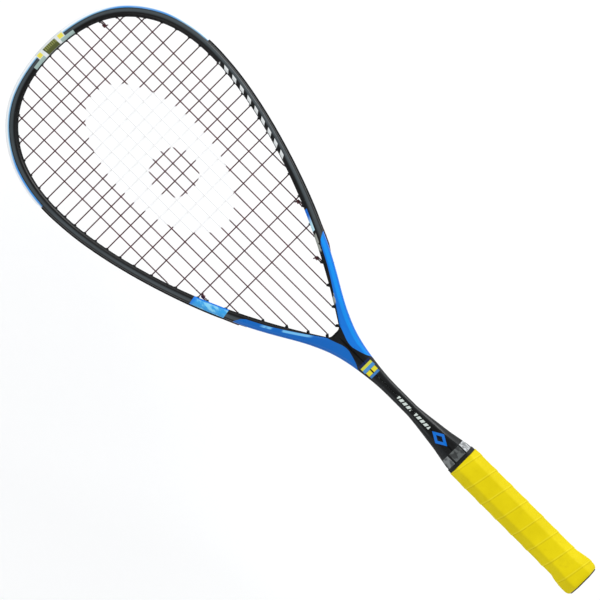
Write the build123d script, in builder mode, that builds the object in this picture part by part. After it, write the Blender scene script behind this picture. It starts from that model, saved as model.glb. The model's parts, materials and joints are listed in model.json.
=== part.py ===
from build123d import *
from dataclasses import dataclass
import math
import os

# Squash racket with an open V throat, lying flat.
# +Y runs from the butt to the tip, +Z is normal to the string plane, +X is to the right
# with the head up.  The origin is the centre of the butt's flat end face.  Sizes are in mm.

LEFT, RIGHT = -1, 1         # sides of the racket, as signs of x
LOW, TOP = -1, 1            # ends of a main string

# ---------------------------------------------------------------- frame sizes
HALF_BEAM = 9.25            # half the depth of the frame tube, normal to the strings
R_FACE = 3.1                # rounding of the tube's four long edges
WALL = 1.35                 # laminate wall
WEB = 0.7                   # half the wall between the two channels of the shaft
NECK_Y = 243.0              # the planar frame ends here and the shaft starts
NECK_HALF_X = 6.05
HANDLE_TOP = 154.0
TAIL_HALF_X, TAIL_HALF_Z, TAIL_CORNER, TAIL_END = 9.5, 7.5, 2.0, 22.0

# right half of the tube's outline (x, y), from the tip down to the neck
OUTER = [
    (0.0, 683.5), (17.0, 682.5), (33.8, 679.6), (50.0, 674.5), (65.0, 666.4), (77.9, 655.4),
    (88.5, 642.1), (96.6, 627.2), (102.0, 611.1), (105.1, 594.3), (106.1, 577.3),
    (105.4, 560.3), (103.8, 543.3), (101.2, 526.4), (97.9, 509.7), (94.0, 493.1),
    (89.6, 476.7), (84.7, 460.3), (79.4, 444.1), (73.7, 428.1), (67.5, 412.3),
    (60.9, 396.6), (54.0, 380.8), (46.3, 365.7), (37.9, 350.8), (29.4, 336.1),
    (21.5, 321.0), (15.1, 305.3), (10.8, 288.7), (8.1, 271.9), (6.6, 258.0),
    (NECK_HALF_X, NECK_Y)]
# right half of the head opening (x, y), from the tip down into the V
INNER = [
    (0.0, 675.6), (17.3, 674.6), (34.3, 671.4), (50.4, 665.4), (64.9, 655.9), (76.9, 643.5),
    (86.2, 629.0), (92.6, 612.9), (96.3, 596.1), (97.8, 578.8), (97.6, 561.6),
    (96.1, 544.3), (93.6, 527.2), (90.4, 510.2), (86.4, 493.4), (81.8, 476.7),
    (76.7, 460.2), (71.0, 443.9), (64.8, 427.7), (58.0, 411.8), (50.8, 396.1),
    (43.1, 380.6), (35.0, 365.3), (26.5, 350.2), (17.6, 335.4), (8.4, 320.8)]
V_SLOPE = (0.54, 0.842)     # direction of the opening's right edge where it enters the V
V_SHOULDER = (7.30, 319.09)     # right ends of the arc into the V's floor
V_FLOOR = (3.3, 316.75)
V_EDGE_CENTRES = [(0, 316.7), (5.2, 317.4), (-5.2, 317.4), (7.8, 320.0), (-7.8, 320.0)]
HOLLOW_FLOOR_Y = 315.0      # the tube's channel meets the web here, under the V
HOLLOW_CORNER = (3.4, 315.2)

# shaft: (y, half width, half depth, corner)
SHAFT = [
    (NECK_Y, NECK_HALF_X, HALF_BEAM, R_FACE), (232.0, NECK_HALF_X, HALF_BEAM, R_FACE),
    (220.0, 6.1, 9.35, 3.1), (208.0, 7.1, 9.85, 3.3), (194.0, 8.85, 10.9, 3.8),
    (180.0, 10.7, 11.95, 4.6), (168.0, 12.9, 12.75, 5.4), (158.0, 14.35, 12.95, 6.0)]
SHAFT_END_Y, SHAFT_HALF_X, SHAFT_HALF_Z, SHAFT_CORNER = SHAFT[-1]
# channel beside the web: (y, distance of its outer wall from the centre, half depth)
LEG_CHANNEL = [(250.0, 4.0, 7.85), (220.0, 4.1, 7.9), (208.0, 5.2, 8.3),
               (192.0, 6.9, 9.0), (176.0, 8.4, 9.0), (158.0, 8.0, 6.1)]
LEG_END_Y, LEG_END_X, LEG_END_HALF_Z = LEG_CHANNEL[-1]

# ---------------------------------------------------------------- groove and grommet sizes
GROOVE_HALF = 4.3           # grommet strip groove, half width and depth
GROOVE_DEEP = 1.0
STRIP_HALF = 4.22
STRIP_END_Y = 377.0         # lower end of the side strips
BUMPER_END_Y = 584.0        # lower end of the bumper guard
END_GAP = 0.15              # each part stops this far from BUMPER_END_Y
RAIL_PROUD = 1.5            # strip rails stand this far out of the frame
GUARD_PROUD = 2.5           # the bumper stands this far out
GUARD_SINK = 2.4            # depth of the bumper's blank before the tube is cut from it
GUARD_HALF = 8.5
GUARD_ROUND = 2.6
CHANNEL_HALF = 2.15         # string channel between the rails
SEAT = 0.06                 # gap under a strip's base
THROAT_HALF = 2.7           # narrow groove round the throat, half width and depth
THROAT_DEEP = 1.9
THROAT_END_Y = 291.0
CUT_OUT = 4.0               # cuts from outside start this far off the tube

HEAD_LONG, HEAD_LONG_SHARED, HEAD_WIDE, HEAD_THICK = 5.6, 6.4, 5.0, 0.6   # throat grommets
HEAD_SINK = THROAT_DEEP - 0.2   # depth of a throat grommet's head under the tube's surface

# radii of bore, barrel and hole in the tube, for one string and for two
R_BORE, R_BARREL, R_HOLE = 0.80, 1.42, 1.50
R_BORE_2, R_BARREL_2, R_HOLE_2 = 1.50, 2.10, 2.18
TIP_PROUD = 1.2             # string holes' tips lie this far inside the head opening
BARREL_START = 0.75         # distance of a barrel's inner end from the hole's tip
HOLE_OVERRUN = 1.5

# ---------------------------------------------------------------- string sizes
R_STRING = 0.60
STRING_GAP = 0.05           # between a string and the floor it runs over
THROAT_FLOOR = 0.75         # floor under the strings, above the throat groove's bottom
STRING_STEP_Y = 372         # below this the strings run in the throat groove
WEAVE = 0.62                # height of a string above the string plane at a crossing
WEAVE_BEND, TIP_BEND = 8.0, 2.0     # bend radii at a crossing and at a hole's tip
LANE = 1.26                 # outside, mains keep to +LANE and crosses to -LANE
CORNER_BEND = 1.1           # bend radius where a string turns out of a grommet
LANE_BEND, RUN_BEND = 1.2, 6.0      # bend radii on entering a lane and along it
SHARE = 0.68                # half the spacing of two strings that share a grommet
BEND_LIMIT = math.radians(30)       # greatest angle of a hole from the tube's normal
LAST_MAIN_LIMIT = math.radians(8)   # the same for the outermost mains' lower holes

# mains from the centre outwards: x at the top, and x and y of the lower hole's tip
MAIN_TOP = [5.0, 15.8, 26.6, 37.9, 49.8, 62.7, 76.2]
MAIN_LOW = [5.1, 15.3, 25.7, 37.0, 48.7, 60.7, 74.6]
MAIN_LOW_Y = [321.7, 336.1, 353.3, 372.2, 393.0, 420.1, 455.9]
MAIN_TOP_Y = 672.0
MAIN_MID_Y = 560.0          # the search for a main's upper hole starts here
MAINS = len(MAIN_TOP)
CROSS_Y = [653.6, 639.3, 625.4, 611.8, 598.3, 586.3, 574.8, 563.5, 551.8,
           540.4, 528.5, 516.0, 502.4, 487.9, 470.8, 447.6, 427.1, 402.2]
# holes (side, main, end) that also take a tied-off string
SHARED = {(RIGHT, 4, TOP), (LEFT, 5, LOW), (RIGHT, 5, LOW), (RIGHT, 3, LOW)}

KNOT_START, KNOT_PITCH = 3.5, 1.28  # places of a hitch's turns along the main, from the tip
KNOT_R, KNOT_WIRE_R = 1.34, 0.65
TAIL_START, TAIL_LONG = 0.5, 4.4    # tied end: its start inside the hole, and its length

# ---------------------------------------------------------------- handle sizes
# The handle is an octagon; its half thickness is THIN less than its half width.
PALLET_HALF = 14.85
THIN = 1.9
FIT = 0.05                  # clearance between handle parts
CAP_WALL = 1.2
SPIGOT_HALF = PALLET_HALF - CAP_WALL - FIT      # the pallets' lower end, inside the cap
SPLIT = 0.03                # each pallet stops this far from the middle plane
PLUG_LONG = 12

# butt cap: (y, half width) up its flare
CAP_FLARE = [(2.6, 16.9), (5.5, 17.1), (9.0, 17.2), (12.5, 17.1), (16.0, 16.5), (20.0, 15.8),
             (26.0, PALLET_HALF)]
CAP_RIM = 17.4
# rounded edge of the cap's end: (y, inset from CAP_RIM)
RIM_EDGE = [(0.0, 1.9), (0.35, 1.0), (1.0, 0.3), (1.8, 0.0), (2.6, 0.0)]
DISC_R, DISC_THICK, DISC_SINK = 9.0, 0.8, 0.12
RECESS_FLOOR = DISC_THICK + 0.15

STAPLE_X, STAPLE_Y = 15.4, 19.0     # centre of the crown's wire
STAPLE_WIRE, STAPLE_WIDE = 0.6, 1.2
LEG_GAP, LEG_DEEP = 8.0, 7.0

GRIP_THICK = 1.1
COLLAR_TALL, COLLAR_THICK, COLLAR_CORNER = 3.2, 0.9, 6.3


# ---------------------------------------------------------------- curve helpers
def flip(point):
    """The same point on the other side of the centre line."""
    return (-point[0], point[1])


def mirrored(points):
    """The left half of a right-half outline, then the right half."""
    return [flip(p) for p in points[:0:-1]] + list(points)


def sampled(edge, count=1000):
    """Positions and unit tangents along an edge, as (x, y, dx, dy)."""
    samples = []
    for i in range(count + 1):
        point, tangent = edge @ (i / count), edge % (i / count)
        samples.append((point.X, point.Y, tangent.X, tangent.Y))
    return samples


def arc_chain(edge, spans=36):
    """The same curve as a smooth chain of circular arcs, two to a span."""
    ends = [(edge @ (i / spans), edge % (i / spans)) for i in range(spans + 1)]
    arcs = []
    for (start, start_dir), (end, end_dir) in zip(ends[:-1], ends[1:]):
        # equal reach along both tangents makes the arcs meet smoothly: a quadratic gives it
        chord = end - start
        square = 2 * (start_dir.dot(end_dir) - 1)
        linear = -2 * chord.dot(start_dir + end_dir)
        constant = chord.dot(chord)
        if abs(square) < 1e-9:
            reach = -constant / linear
        else:
            root = math.sqrt(linear * linear - 4 * square * constant)
            reach = (-linear - root) / (2 * square)
        joint = (start + start_dir * reach + end - end_dir * reach) * 0.5
        arcs.append(Edge.make_tangent_arc(start, start_dir, joint))
        arcs.append(Edge.make_tangent_arc(end, end_dir * -1, joint))
    return arcs


def normal_shift(samples, distance, step):
    """Every step-th sample and the last, moved to the curve's left by distance(y)."""
    chosen = samples[::step]
    if chosen[-1] is not samples[-1]:
        chosen.append(samples[-1])
    return [(x - dy * distance(y), y + dx * distance(y)) for x, y, dx, dy in chosen]


def ray_hit(samples, origin, direction, far=60.0):
    """First place where a ray meets a sampled curve: (distance, position in the samples)."""
    best = None
    ux, uy = direction
    for i, (start, end) in enumerate(zip(samples[:-1], samples[1:])):
        ax, ay = start[0] - origin[0], start[1] - origin[1]
        bx, by = end[0] - start[0], end[1] - start[1]
        det = bx * uy - by * ux
        if abs(det) < 1e-12:
            continue
        distance = (bx * ay - by * ax) / det
        share = (ux * ay - uy * ax) / det
        on_segment = -1e-9 <= share <= 1 + 1e-9
        if on_segment and -5.0 < distance < far and (best is None or distance < best[0]):
            best = (distance, i + share)
    return best


def across(y):
    """Plane across the handle at height y; local x is X and local y is Z."""
    return Plane(origin=(0, y, 0), x_dir=(1, 0, 0), z_dir=(0, -1, 0))


# Both curves run from the lower left over the tip to the lower right, so their left is outwards.
outer_edge = Edge.make_spline([Vector(x, y) for x, y in mirrored(OUTER)],
                              tangents=[Vector(0, 1), Vector(0, -1)])
inner_edge = Edge.make_spline([Vector(x, y) for x, y in mirrored(INNER)],
                              tangents=[Vector(-V_SLOPE[0], V_SLOPE[1]),
                                        Vector(-V_SLOPE[0], -V_SLOPE[1])])
OUT = sampled(outer_edge)
INN = sampled(inner_edge)
OUT_STEP = outer_edge.length / (len(OUT) - 1)


def nearest(point):
    """Index of the outer curve's sample closest to a point."""
    x, y = point[:2]
    return min(range(len(OUT)), key=lambda i: (OUT[i][0] - x) ** 2 + (OUT[i][1] - y) ** 2)


# ---------------------------------------------------------------- string holes
@dataclass
class StringHole:
    tip: tuple      # where the string enters the hole inside the head
    dir: tuple      # unit direction outwards
    length: float   # from the tip to the tube's outer surface
    at: int         # outer curve's sample at the outer end
    y: float        # height of the outer end
    cos: float      # cosine of the angle to the tube's normal
    shared: bool    # takes two strings

    def reach(self, offset):
        """Distance from the tip to an offset of the outer surface."""
        return self.length + offset / max(0.3, self.cos)

    def plane(self, start):
        """Plane across the hole at a distance from the tip, looking outwards."""
        (x, y), (ux, uy) = self.tip, self.dir
        return Plane(origin=(x + ux * start, y + uy * start, 0), z_dir=(ux, uy, 0))


def make_hole(tip, pull, shared=False, limit=BEND_LIMIT):
    """A hole along the string's pull, but at most limit away from the tube's normal."""
    at = nearest(tip)
    for _ in range(4):      # the normal is taken where the hole comes out, so it is iterated
        nx, ny = -OUT[at][3], OUT[at][2]
        angle = math.acos(max(-1.0, min(1.0, nx * pull[0] + ny * pull[1])))
        ux, uy = pull
        if angle > limit:
            turn = math.copysign(limit, nx * pull[1] - ny * pull[0])
            ux = nx * math.cos(turn) - ny * math.sin(turn)
            uy = nx * math.sin(turn) + ny * math.cos(turn)
        length, position = ray_hit(OUT, tip, (ux, uy))
        at = int(position)
    cos = -OUT[at][3] * ux + OUT[at][2] * uy
    return StringHole(tip, (ux, uy), length, at, OUT[at][1], cos, shared)


def inner_tip(origin, pull):
    """Tip of the hole that a string from origin meets."""
    distance = ray_hit(INN, origin, pull, far=200)[0] - TIP_PROUD
    return (origin[0] + pull[0] * distance, origin[1] + pull[1] * distance)


def main_x(i, side, y):
    """X of a main at height y; the mains fan out very slightly."""
    share = (y - MAIN_LOW_Y[i]) / (MAIN_TOP_Y - MAIN_LOW_Y[i])
    return side * (MAIN_LOW[i] + (MAIN_TOP[i] - MAIN_LOW[i]) * share)


main_holes, cross_holes = {}, {}
for side in (LEFT, RIGHT):
    for i in range(MAINS):
        slope = (MAIN_TOP[i] - MAIN_LOW[i]) * side / (MAIN_TOP_Y - MAIN_LOW_Y[i])
        up = Vector(slope, 1).normalized()
        tip = inner_tip((main_x(i, side, MAIN_MID_Y), MAIN_MID_Y), (up.X, up.Y))
        main_holes[side, i, TOP] = make_hole(tip, (up.X, up.Y), (side, i, TOP) in SHARED)
        main_holes[side, i, LOW] = make_hole(
            (side * MAIN_LOW[i], MAIN_LOW_Y[i]), (-up.X, -up.Y), (side, i, LOW) in SHARED,
            LAST_MAIN_LIMIT if i == MAINS - 1 else BEND_LIMIT)
for j, y in enumerate(CROSS_Y):
    for side in (LEFT, RIGHT):
        pull = (float(side), 0.0)
        cross_holes[side, j] = make_hole(inner_tip((0.0, y), pull), pull)
all_holes = list(main_holes.values()) + list(cross_holes.values())


# ---------------------------------------------------------------- solids along the tube
def band(offset_in, offset_out, y_from, half, side=0, y_to=math.inf):
    """Solid between two offsets of the outer curve, half thick each way from the string plane.

    It spans y_from to y_to, on one side or, with side 0, right round the tip."""
    kept = [s for s in OUT if y_from <= s[1] <= y_to and (side == 0 or s[0] * side > 0)]
    a = normal_shift(kept, lambda y: offset_in, 12)
    b = normal_shift(kept, lambda y: offset_out, 12)
    with BuildPart() as made:
        with BuildSketch(Plane.XY.offset(-half)):
            with BuildLine():
                Spline([Vector(*p) for p in a])
                Line(a[-1], b[-1])
                Spline([Vector(*p) for p in b])
                Line(b[0], a[0])
            make_face()
        extrude(amount=2 * half)
    return made.part


def bars(holes, radius, shared_radius, start, stop):
    """Cylinders on the axes of holes, from start to stop(hole), measured from the tip."""
    made = []
    for hole in holes:
        with BuildPart() as bar:
            with BuildSketch(hole.plane(start)):
                Circle(shared_radius if hole.shared else radius)
            extrude(amount=stop(hole) - start)
        made.append(bar.part)
    return made


def barrels(holes, offset=-GROOVE_DEEP + 0.3):
    """Grommet barrels that end at an offset of the outer surface."""
    return bars(holes, R_BARREL, R_BARREL_2, BARREL_START, lambda hole: hole.reach(offset))


def bores(holes, flare_deep, flare_grow, floor=-GROOVE_DEEP):
    """Bores with a flared mouth, which starts just under floor and opens outwards."""
    made = bars(holes, R_BORE, R_BORE_2, -2.0, lambda hole: hole.reach(3.0))
    for hole in holes:
        plane = hole.plane(hole.reach(floor - 0.1))
        radius = R_BORE_2 if hole.shared else R_BORE
        with BuildPart() as mouth:
            with BuildSketch(plane):
                Circle(radius)
            with BuildSketch(plane.offset(flare_deep)):
                Circle(radius + flare_grow)
            loft()
        made.append(mouth.part)
    return made


# ---------------------------------------------------------------- frame
def on_face(edge):
    """Whether an edge lies on the tube's front or back face."""
    return abs(abs(edge.center().Z) - HALF_BEAM) < 0.01


def near_opening(edge):
    """Whether an edge's centre lies on the outline of the head opening."""
    centre = edge.center()
    places = [(x, y) for x, y, *_ in INN[::2]] + V_EDGE_CENTRES
    return min((centre.X - x) ** 2 + (centre.Y - y) ** 2 for x, y in places) < 1.5


def make_outer_tube():
    """Solid blank from the tip to the neck, with both faces' outer edges rounded."""
    with BuildPart() as tube:
        with BuildSketch(Plane.XY.offset(-HALF_BEAM)):
            with BuildLine():
                add(arc_chain(outer_edge))
                Line((NECK_HALF_X, NECK_Y), (-NECK_HALF_X, NECK_Y))
            make_face()
        extrude(amount=2 * HALF_BEAM)
        fillet([e for e in tube.edges() if on_face(e) and e.center().Y > NECK_Y + 0.01], R_FACE)
    return tube.part


def make_opening():
    """Cutter for the head opening, with a small flat at the bottom of the V."""
    with BuildPart() as opening:
        with BuildSketch(Plane.XY.offset(-HALF_BEAM - 2)):
            with BuildLine():
                add(arc_chain(inner_edge))
                Line(INNER[-1], V_SHOULDER)
                right_arc = TangentArc(V_SHOULDER, V_FLOOR, tangent=(-V_SLOPE[0], -V_SLOPE[1]))
                Line(right_arc @ 1, flip(V_FLOOR))
                TangentArc(flip(V_SHOULDER), flip(V_FLOOR), tangent=(V_SLOPE[0], -V_SLOPE[1]))
                Line(flip(V_SHOULDER), flip(INNER[-1]))
            make_face()
        extrude(amount=2 * HALF_BEAM + 4)
    return opening.part


def hollow_offset(y):
    """Offset of the channel from the outer surface: it clears the string grooves."""
    if y > 400:
        return -2.25
    if y > 375:
        return -2.25 - (400 - y) / 25
    if y > 300:
        return -3.25
    return -3.25 + (300 - y) / (300 - NECK_Y) * 1.25


def make_hollow():
    """The channel inside the tube; it runs round the hoop and down both legs."""
    a = normal_shift(OUT, hollow_offset, 25)
    b = normal_shift(INN, lambda y: WALL, 25)
    web_foot, web_head = (WEB, a[-1][1]), (WEB, HOLLOW_FLOOR_Y)
    with BuildPart() as hollow:
        with BuildSketch(Plane.XY.offset(-HALF_BEAM + WALL)):
            with BuildLine():
                Spline([Vector(*p) for p in a])
                Polyline(a[-1], web_foot, web_head, HOLLOW_CORNER, b[-1])
                Spline([Vector(*p) for p in b])
                Polyline(b[0], flip(HOLLOW_CORNER), flip(web_head), (-WEB, a[0][1]), a[0])
            make_face()
        extrude(amount=2 * (HALF_BEAM - WALL))
    return hollow.part


def rounded_section(plane, half_x, half_z, corner):
    """Rectangle with rounded corners, as four lines and four arcs."""
    ends = [(half_x, half_z - corner), (half_x - corner, half_z),
            (-half_x + corner, half_z), (-half_x, half_z - corner),
            (-half_x, -half_z + corner), (-half_x + corner, -half_z),
            (half_x - corner, -half_z), (half_x, -half_z + corner)]
    inset = corner * (1 - math.sqrt(0.5))
    x, z = half_x - inset, half_z - inset
    middles = [(x, z), (-x, z), (-x, -z), (x, -z)]
    with BuildSketch(plane) as made:
        with BuildLine():
            for i, middle in enumerate(middles):
                ThreePointArc(ends[2 * i], middle, ends[2 * i + 1])
                Line(ends[2 * i + 1], ends[(2 * i + 2) % 8])
        make_face()
    return made.sketch


def make_shaft():
    with BuildPart() as shaft:
        for y, half_x, half_z, corner in SHAFT:
            add(rounded_section(across(y), half_x, half_z, corner))
        loft()
        with BuildSketch(across(SHAFT_END_Y)):
            add(rounded_section(Plane.XY, SHAFT_HALF_X, SHAFT_HALF_Z, SHAFT_CORNER))
        extrude(amount=SHAFT_END_Y - HANDLE_TOP)
    return shaft.part


def make_tail():
    """The shaft's narrow end inside the handle."""
    with BuildPart() as tail:
        with BuildSketch(across(HANDLE_TOP)):
            RectangleRounded(2 * TAIL_HALF_X, 2 * TAIL_HALF_Z, TAIL_CORNER)
        extrude(amount=HANDLE_TOP - TAIL_END)
    return tail.part


def make_leg_channels():
    """Two channels down the shaft and the tail, one each side of the web."""
    with BuildPart() as channels:
        for side in (RIGHT, LEFT):
            for stations in zip(LEG_CHANNEL[:-1], LEG_CHANNEL[1:]):
                for y, outer_x, half_z in stations:
                    with BuildSketch(across(y)):
                        with Locations((side * (outer_x + WEB) / 2, 0)):
                            Rectangle(outer_x - WEB, 2 * half_z)
                loft(ruled=True)
            with BuildSketch(across(LEG_END_Y)):
                with Locations((side * (LEG_END_X + WEB) / 2, 0)):
                    Rectangle(LEG_END_X - WEB, 2 * LEG_END_HALF_Z)
            extrude(amount=LEG_END_Y - TAIL_END)
    return channels.part


def make_frame(outer_tube):
    with BuildPart() as frame:
        add(outer_tube)
        add(make_opening(), mode=Mode.SUBTRACT)
        fillet([e for e in frame.edges()
                if on_face(e) and e.center().Y > 315 and near_opening(e)], R_FACE)
        add(make_shaft())
        add(make_tail())
        add(make_hollow(), mode=Mode.SUBTRACT)
        add(make_leg_channels(), mode=Mode.SUBTRACT)
        # grommet groove down to the strips' lower ends, then the narrow groove round the throat
        add(band(-GROOVE_DEEP, CUT_OUT, STRIP_END_Y - 0.05, GROOVE_HALF), mode=Mode.SUBTRACT)
        for side in (RIGHT, LEFT):
            add(band(-THROAT_DEEP, CUT_OUT, THROAT_END_Y, THROAT_HALF, side, STRIP_END_Y + 0.5),
                mode=Mode.SUBTRACT)
        add(bars(all_holes, R_HOLE, R_HOLE_2, -HOLE_OVERRUN,
                 lambda hole: hole.length + HOLE_OVERRUN), mode=Mode.SUBTRACT)
    return frame.part


# ---------------------------------------------------------------- bumper guard and grommets
def make_bumper_guard(outer_tube):
    holes = [h for h in all_holes if h.y > BUMPER_END_Y]
    end_y = BUMPER_END_Y + END_GAP
    with BuildPart() as guard:
        add(band(-GUARD_SINK, GUARD_PROUD, end_y, GUARD_HALF))
        # the two outermost long edges reach highest
        fillet(guard.edges().filter_by(GeomType.BSPLINE).sort_by(
            lambda e: e.bounding_box().max.Y)[-2:], GUARD_ROUND)
        add(outer_tube, mode=Mode.SUBTRACT)
        add(band(-GROOVE_DEEP + SEAT, 1.0, end_y, STRIP_HALF))
        add(band(0.0, CUT_OUT, BUMPER_END_Y - 2, CHANNEL_HALF), mode=Mode.SUBTRACT)
        add(barrels(holes))
        add(bores(holes, flare_deep=2.9, flare_grow=2.5), mode=Mode.SUBTRACT)
    return guard.part


def make_strip(side):
    """Grommet strip on one side, from the bumper down to the throat."""
    holes = [h for h in all_holes
             if STRIP_END_Y < h.y <= BUMPER_END_Y and h.tip[0] * side > 0]
    with BuildPart() as strip:
        add(band(-GROOVE_DEEP + SEAT, RAIL_PROUD, STRIP_END_Y, STRIP_HALF, side,
                 BUMPER_END_Y - END_GAP))
        add(band(0.0, CUT_OUT, STRIP_END_Y - 3, CHANNEL_HALF, side, BUMPER_END_Y + 2),
            mode=Mode.SUBTRACT)
        add(barrels(holes))
        add(bores(holes, flare_deep=3.0, flare_grow=2.8), mode=Mode.SUBTRACT)
    return strip.part


def make_throat_grommet(hole):
    """Single grommet: a flanged head in the groove and a barrel through the tube."""
    x, y, dx, dy = OUT[hole.at]
    foot = Plane(origin=(x + dy * HEAD_SINK, y - dx * HEAD_SINK, 0), z_dir=(-dy, dx, 0))
    with BuildPart() as grommet:
        with BuildSketch(foot):
            # the head is long along the groove
            SlotOverall(HEAD_LONG_SHARED if hole.shared else HEAD_LONG, HEAD_WIDE,
                        rotation=90 if abs(foot.x_dir.Z) > 0.5 else 0)
        extrude(amount=HEAD_THICK)
        add(barrels([hole], -THROAT_DEEP + 0.45))
        add(bores([hole], flare_deep=2.6, flare_grow=2.5, floor=-THROAT_DEEP + 0.1),
            mode=Mode.SUBTRACT)
    # the mouth can leave a sliver of the barrel loose, so only the grommet itself is kept
    with BuildPart() as single:
        add(grommet.part.solids().sort_by(SortBy.VOLUME)[-1])
    return single.part


# ---------------------------------------------------------------- string paths
# A path is a list of (point, bend radius at that point).
def rounded_wire(path):
    """A wire of straight lines joined by tangent arcs."""
    points = [Vector(*point) for point, _ in path]
    edges, last = [], points[0]
    for i in range(1, len(points) - 1):
        corner = points[i]
        back, ahead = points[i - 1] - corner, points[i + 1] - corner
        room = 0.48 * min(back.length, ahead.length)
        back, ahead = back.normalized(), ahead.normalized()
        turn = math.pi - math.acos(max(-1.0, min(1.0, back.dot(ahead))))
        if turn < 2e-4:
            continue
        cut = min(path[i][1] * math.tan(turn / 2), room)
        radius = cut / math.tan(turn / 2)
        start, end = corner + back * cut, corner + ahead * cut
        middle = corner + (back + ahead).normalized() * (radius / math.cos(turn / 2) - radius)
        if (start - last).length > 1e-4:
            edges.append(Edge.make_line(last, start))
        edges.append(Edge.make_three_point_arc(start, middle, end))
        last = end
    edges.append(Edge.make_line(last, points[-1]))
    return Wire(edges)


def string_offset(y):
    """Offset from the tube's outer surface at which a string's centre runs outside."""
    if y > STRING_STEP_Y:
        return R_STRING + STRING_GAP
    return -THROAT_DEEP + THROAT_FLOOR + R_STRING + STRING_GAP


def outside_point(at, z):
    """Point in the string channel at a position along the outer curve's samples."""
    i = max(0, min(len(OUT) - 2, int(at)))
    share = at - i
    x, y, dx, dy = [a * (1 - share) + b * share for a, b in zip(OUT[i], OUT[i + 1])]
    offset = string_offset(y)
    return (x - dy * offset, y + dx * offset, z)


def hole_run(hole, shift=0.0):
    """A string's points at the tip and in the channel, shifted sideways in the plane."""
    (x, y), (ux, uy) = hole.tip, hole.dir
    x, y = x - uy * shift, y + ux * shift
    reach = hole.reach(string_offset(hole.y))
    return (x, y, 0.0), (x + ux * reach, y + uy * reach, 0.0)


def own_shift(side, i, end):
    """Where a main sits in a grommet that it shares with a tied-off end."""
    return end * side * SHARE if (side, i, end) in SHARED else 0.0


def loop(hole_a, hole_b, lane, shift_a=0.0, shift_b=0.0):
    """Outside run between two holes, in its lane except close to the corners."""
    start, end = hole_run(hole_a, shift_a)[1], hole_run(hole_b, shift_b)[1]
    at_a, at_b = nearest(start), nearest(end)
    length = abs(at_b - at_a) * OUT_STEP
    near = min(2.1, 0.3 * length) / length
    count = max(1, round(length * (1 - 2 * near) / 8.0))
    path = [(start, CORNER_BEND)]
    for k in range(count + 1):
        share = near + (1 - 2 * near) * k / count
        bend = LANE_BEND if k in (0, count) else RUN_BEND
        path.append((outside_point(at_a + (at_b - at_a) * share, lane), bend))
    return path + [(end, CORNER_BEND)]


def main_sign(side, i, j):
    """Side of the plane a main is on where it meets cross j: they alternate both ways."""
    column = i + 1 if side == RIGHT else -i
    return 1 if (column + j) % 2 == 0 else -1


def woven_path(start, crossings, end):
    """Path over crossings (x, y, sign), high enough that the rounded path reaches WEAVE."""
    stops = [(*start[:2], 0)] + crossings + [(*end[:2], 0)]
    flat = [Vector(x, y, 0) for x, y, _ in stops]
    heights = [WEAVE * sign for *_, sign in stops]
    for _ in range(5):
        raised = list(heights)
        for k in range(1, len(stops) - 1):
            back, ahead = (flat[k - 1] - flat[k]).length, (flat[k + 1] - flat[k]).length
            turn = abs(math.atan((heights[k] - heights[k - 1]) / back)
                       + math.atan((heights[k] - heights[k + 1]) / ahead))
            raised[k] = stops[k][2] * (WEAVE + WEAVE_BEND * (1 / math.cos(turn / 2) - 1))
        heights = raised
    bends = [TIP_BEND] + [WEAVE_BEND] * len(crossings) + [TIP_BEND]
    return [((x, y, z), bend) for (x, y, _), z, bend in zip(stops, heights, bends)]


def main_pass(side, i, downwards):
    """One main between its tips, woven through the crosses."""
    top_tip = hole_run(main_holes[side, i, TOP], own_shift(side, i, TOP))[0]
    low_tip = hole_run(main_holes[side, i, LOW], own_shift(side, i, LOW))[0]
    crossings = [(main_x(i, side, y), y, main_sign(side, i, j)) for j, y in enumerate(CROSS_Y)
                 if low_tip[1] + 2 < y < top_tip[1] - 1.5]
    path = woven_path(top_tip, crossings, low_tip)
    return path if downwards else path[::-1]


def cross_pass(j, rightwards):
    """One cross between its tips, woven through the mains."""
    y = CROSS_Y[j]
    columns = [(LEFT, i) for i in reversed(range(MAINS))] + [(RIGHT, i) for i in range(MAINS)]
    crossings = [(main_x(i, side, y), y, -main_sign(side, i, j)) for side, i in columns
                 if MAIN_LOW_Y[i] + 2 < y < main_holes[side, i, TOP].tip[1] - 1.5]
    path = woven_path(cross_holes[LEFT, j].tip, crossings, cross_holes[RIGHT, j].tip)
    return path if rightwards else path[::-1]


def tie_off(side, i, end):
    """A hitch on a main close to its grommet: its two turns, and the tied end's path."""
    path = main_pass(side, i, end == LOW)
    tip, after = Vector(*path[-1][0]), Vector(*path[-2][0])
    axis = (after - tip).normalized()
    with BuildPart() as turns:
        for k in range(2):
            with Locations(Plane(origin=tip + axis * (KNOT_START + KNOT_PITCH * k), z_dir=axis)):
                Torus(KNOT_R, KNOT_WIRE_R)
    hole = main_holes[side, i, end]
    start = Vector(*hole_run(hole, -own_shift(side, i, end))[0]) + Vector(*hole.dir) * TAIL_START
    return turns.part, [(tuple(start), 1.5), (tuple(start + axis * TAIL_LONG), 1.0)]


def string_part(path, knots):
    wire = rounded_wire(path)
    with BuildPart() as made:
        with BuildSketch(Plane(origin=wire @ 0, z_dir=wire % 0)):
            Circle(R_STRING)
        sweep(path=wire)
        for turns in knots:
            add(turns)
    return made.part


def half_of_mains(side):
    """From the centre main's top to the outermost main and its tie-off."""
    path = []
    for i in range(MAINS):
        downwards = i % 2 == 0
        path += main_pass(side, i, downwards)
        end = LOW if downwards else TOP
        if i < MAINS - 1:
            path += loop(main_holes[side, i, end], main_holes[side, i + 1, end], LANE,
                         own_shift(side, i, end), own_shift(side, i + 1, end))
    path += loop(main_holes[side, 6, LOW], main_holes[side, 5, LOW], LANE,
                 0.0, -own_shift(side, 5, LOW))
    turns, tied_end = tie_off(side, 5, LOW)
    return path + tied_end, turns


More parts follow.
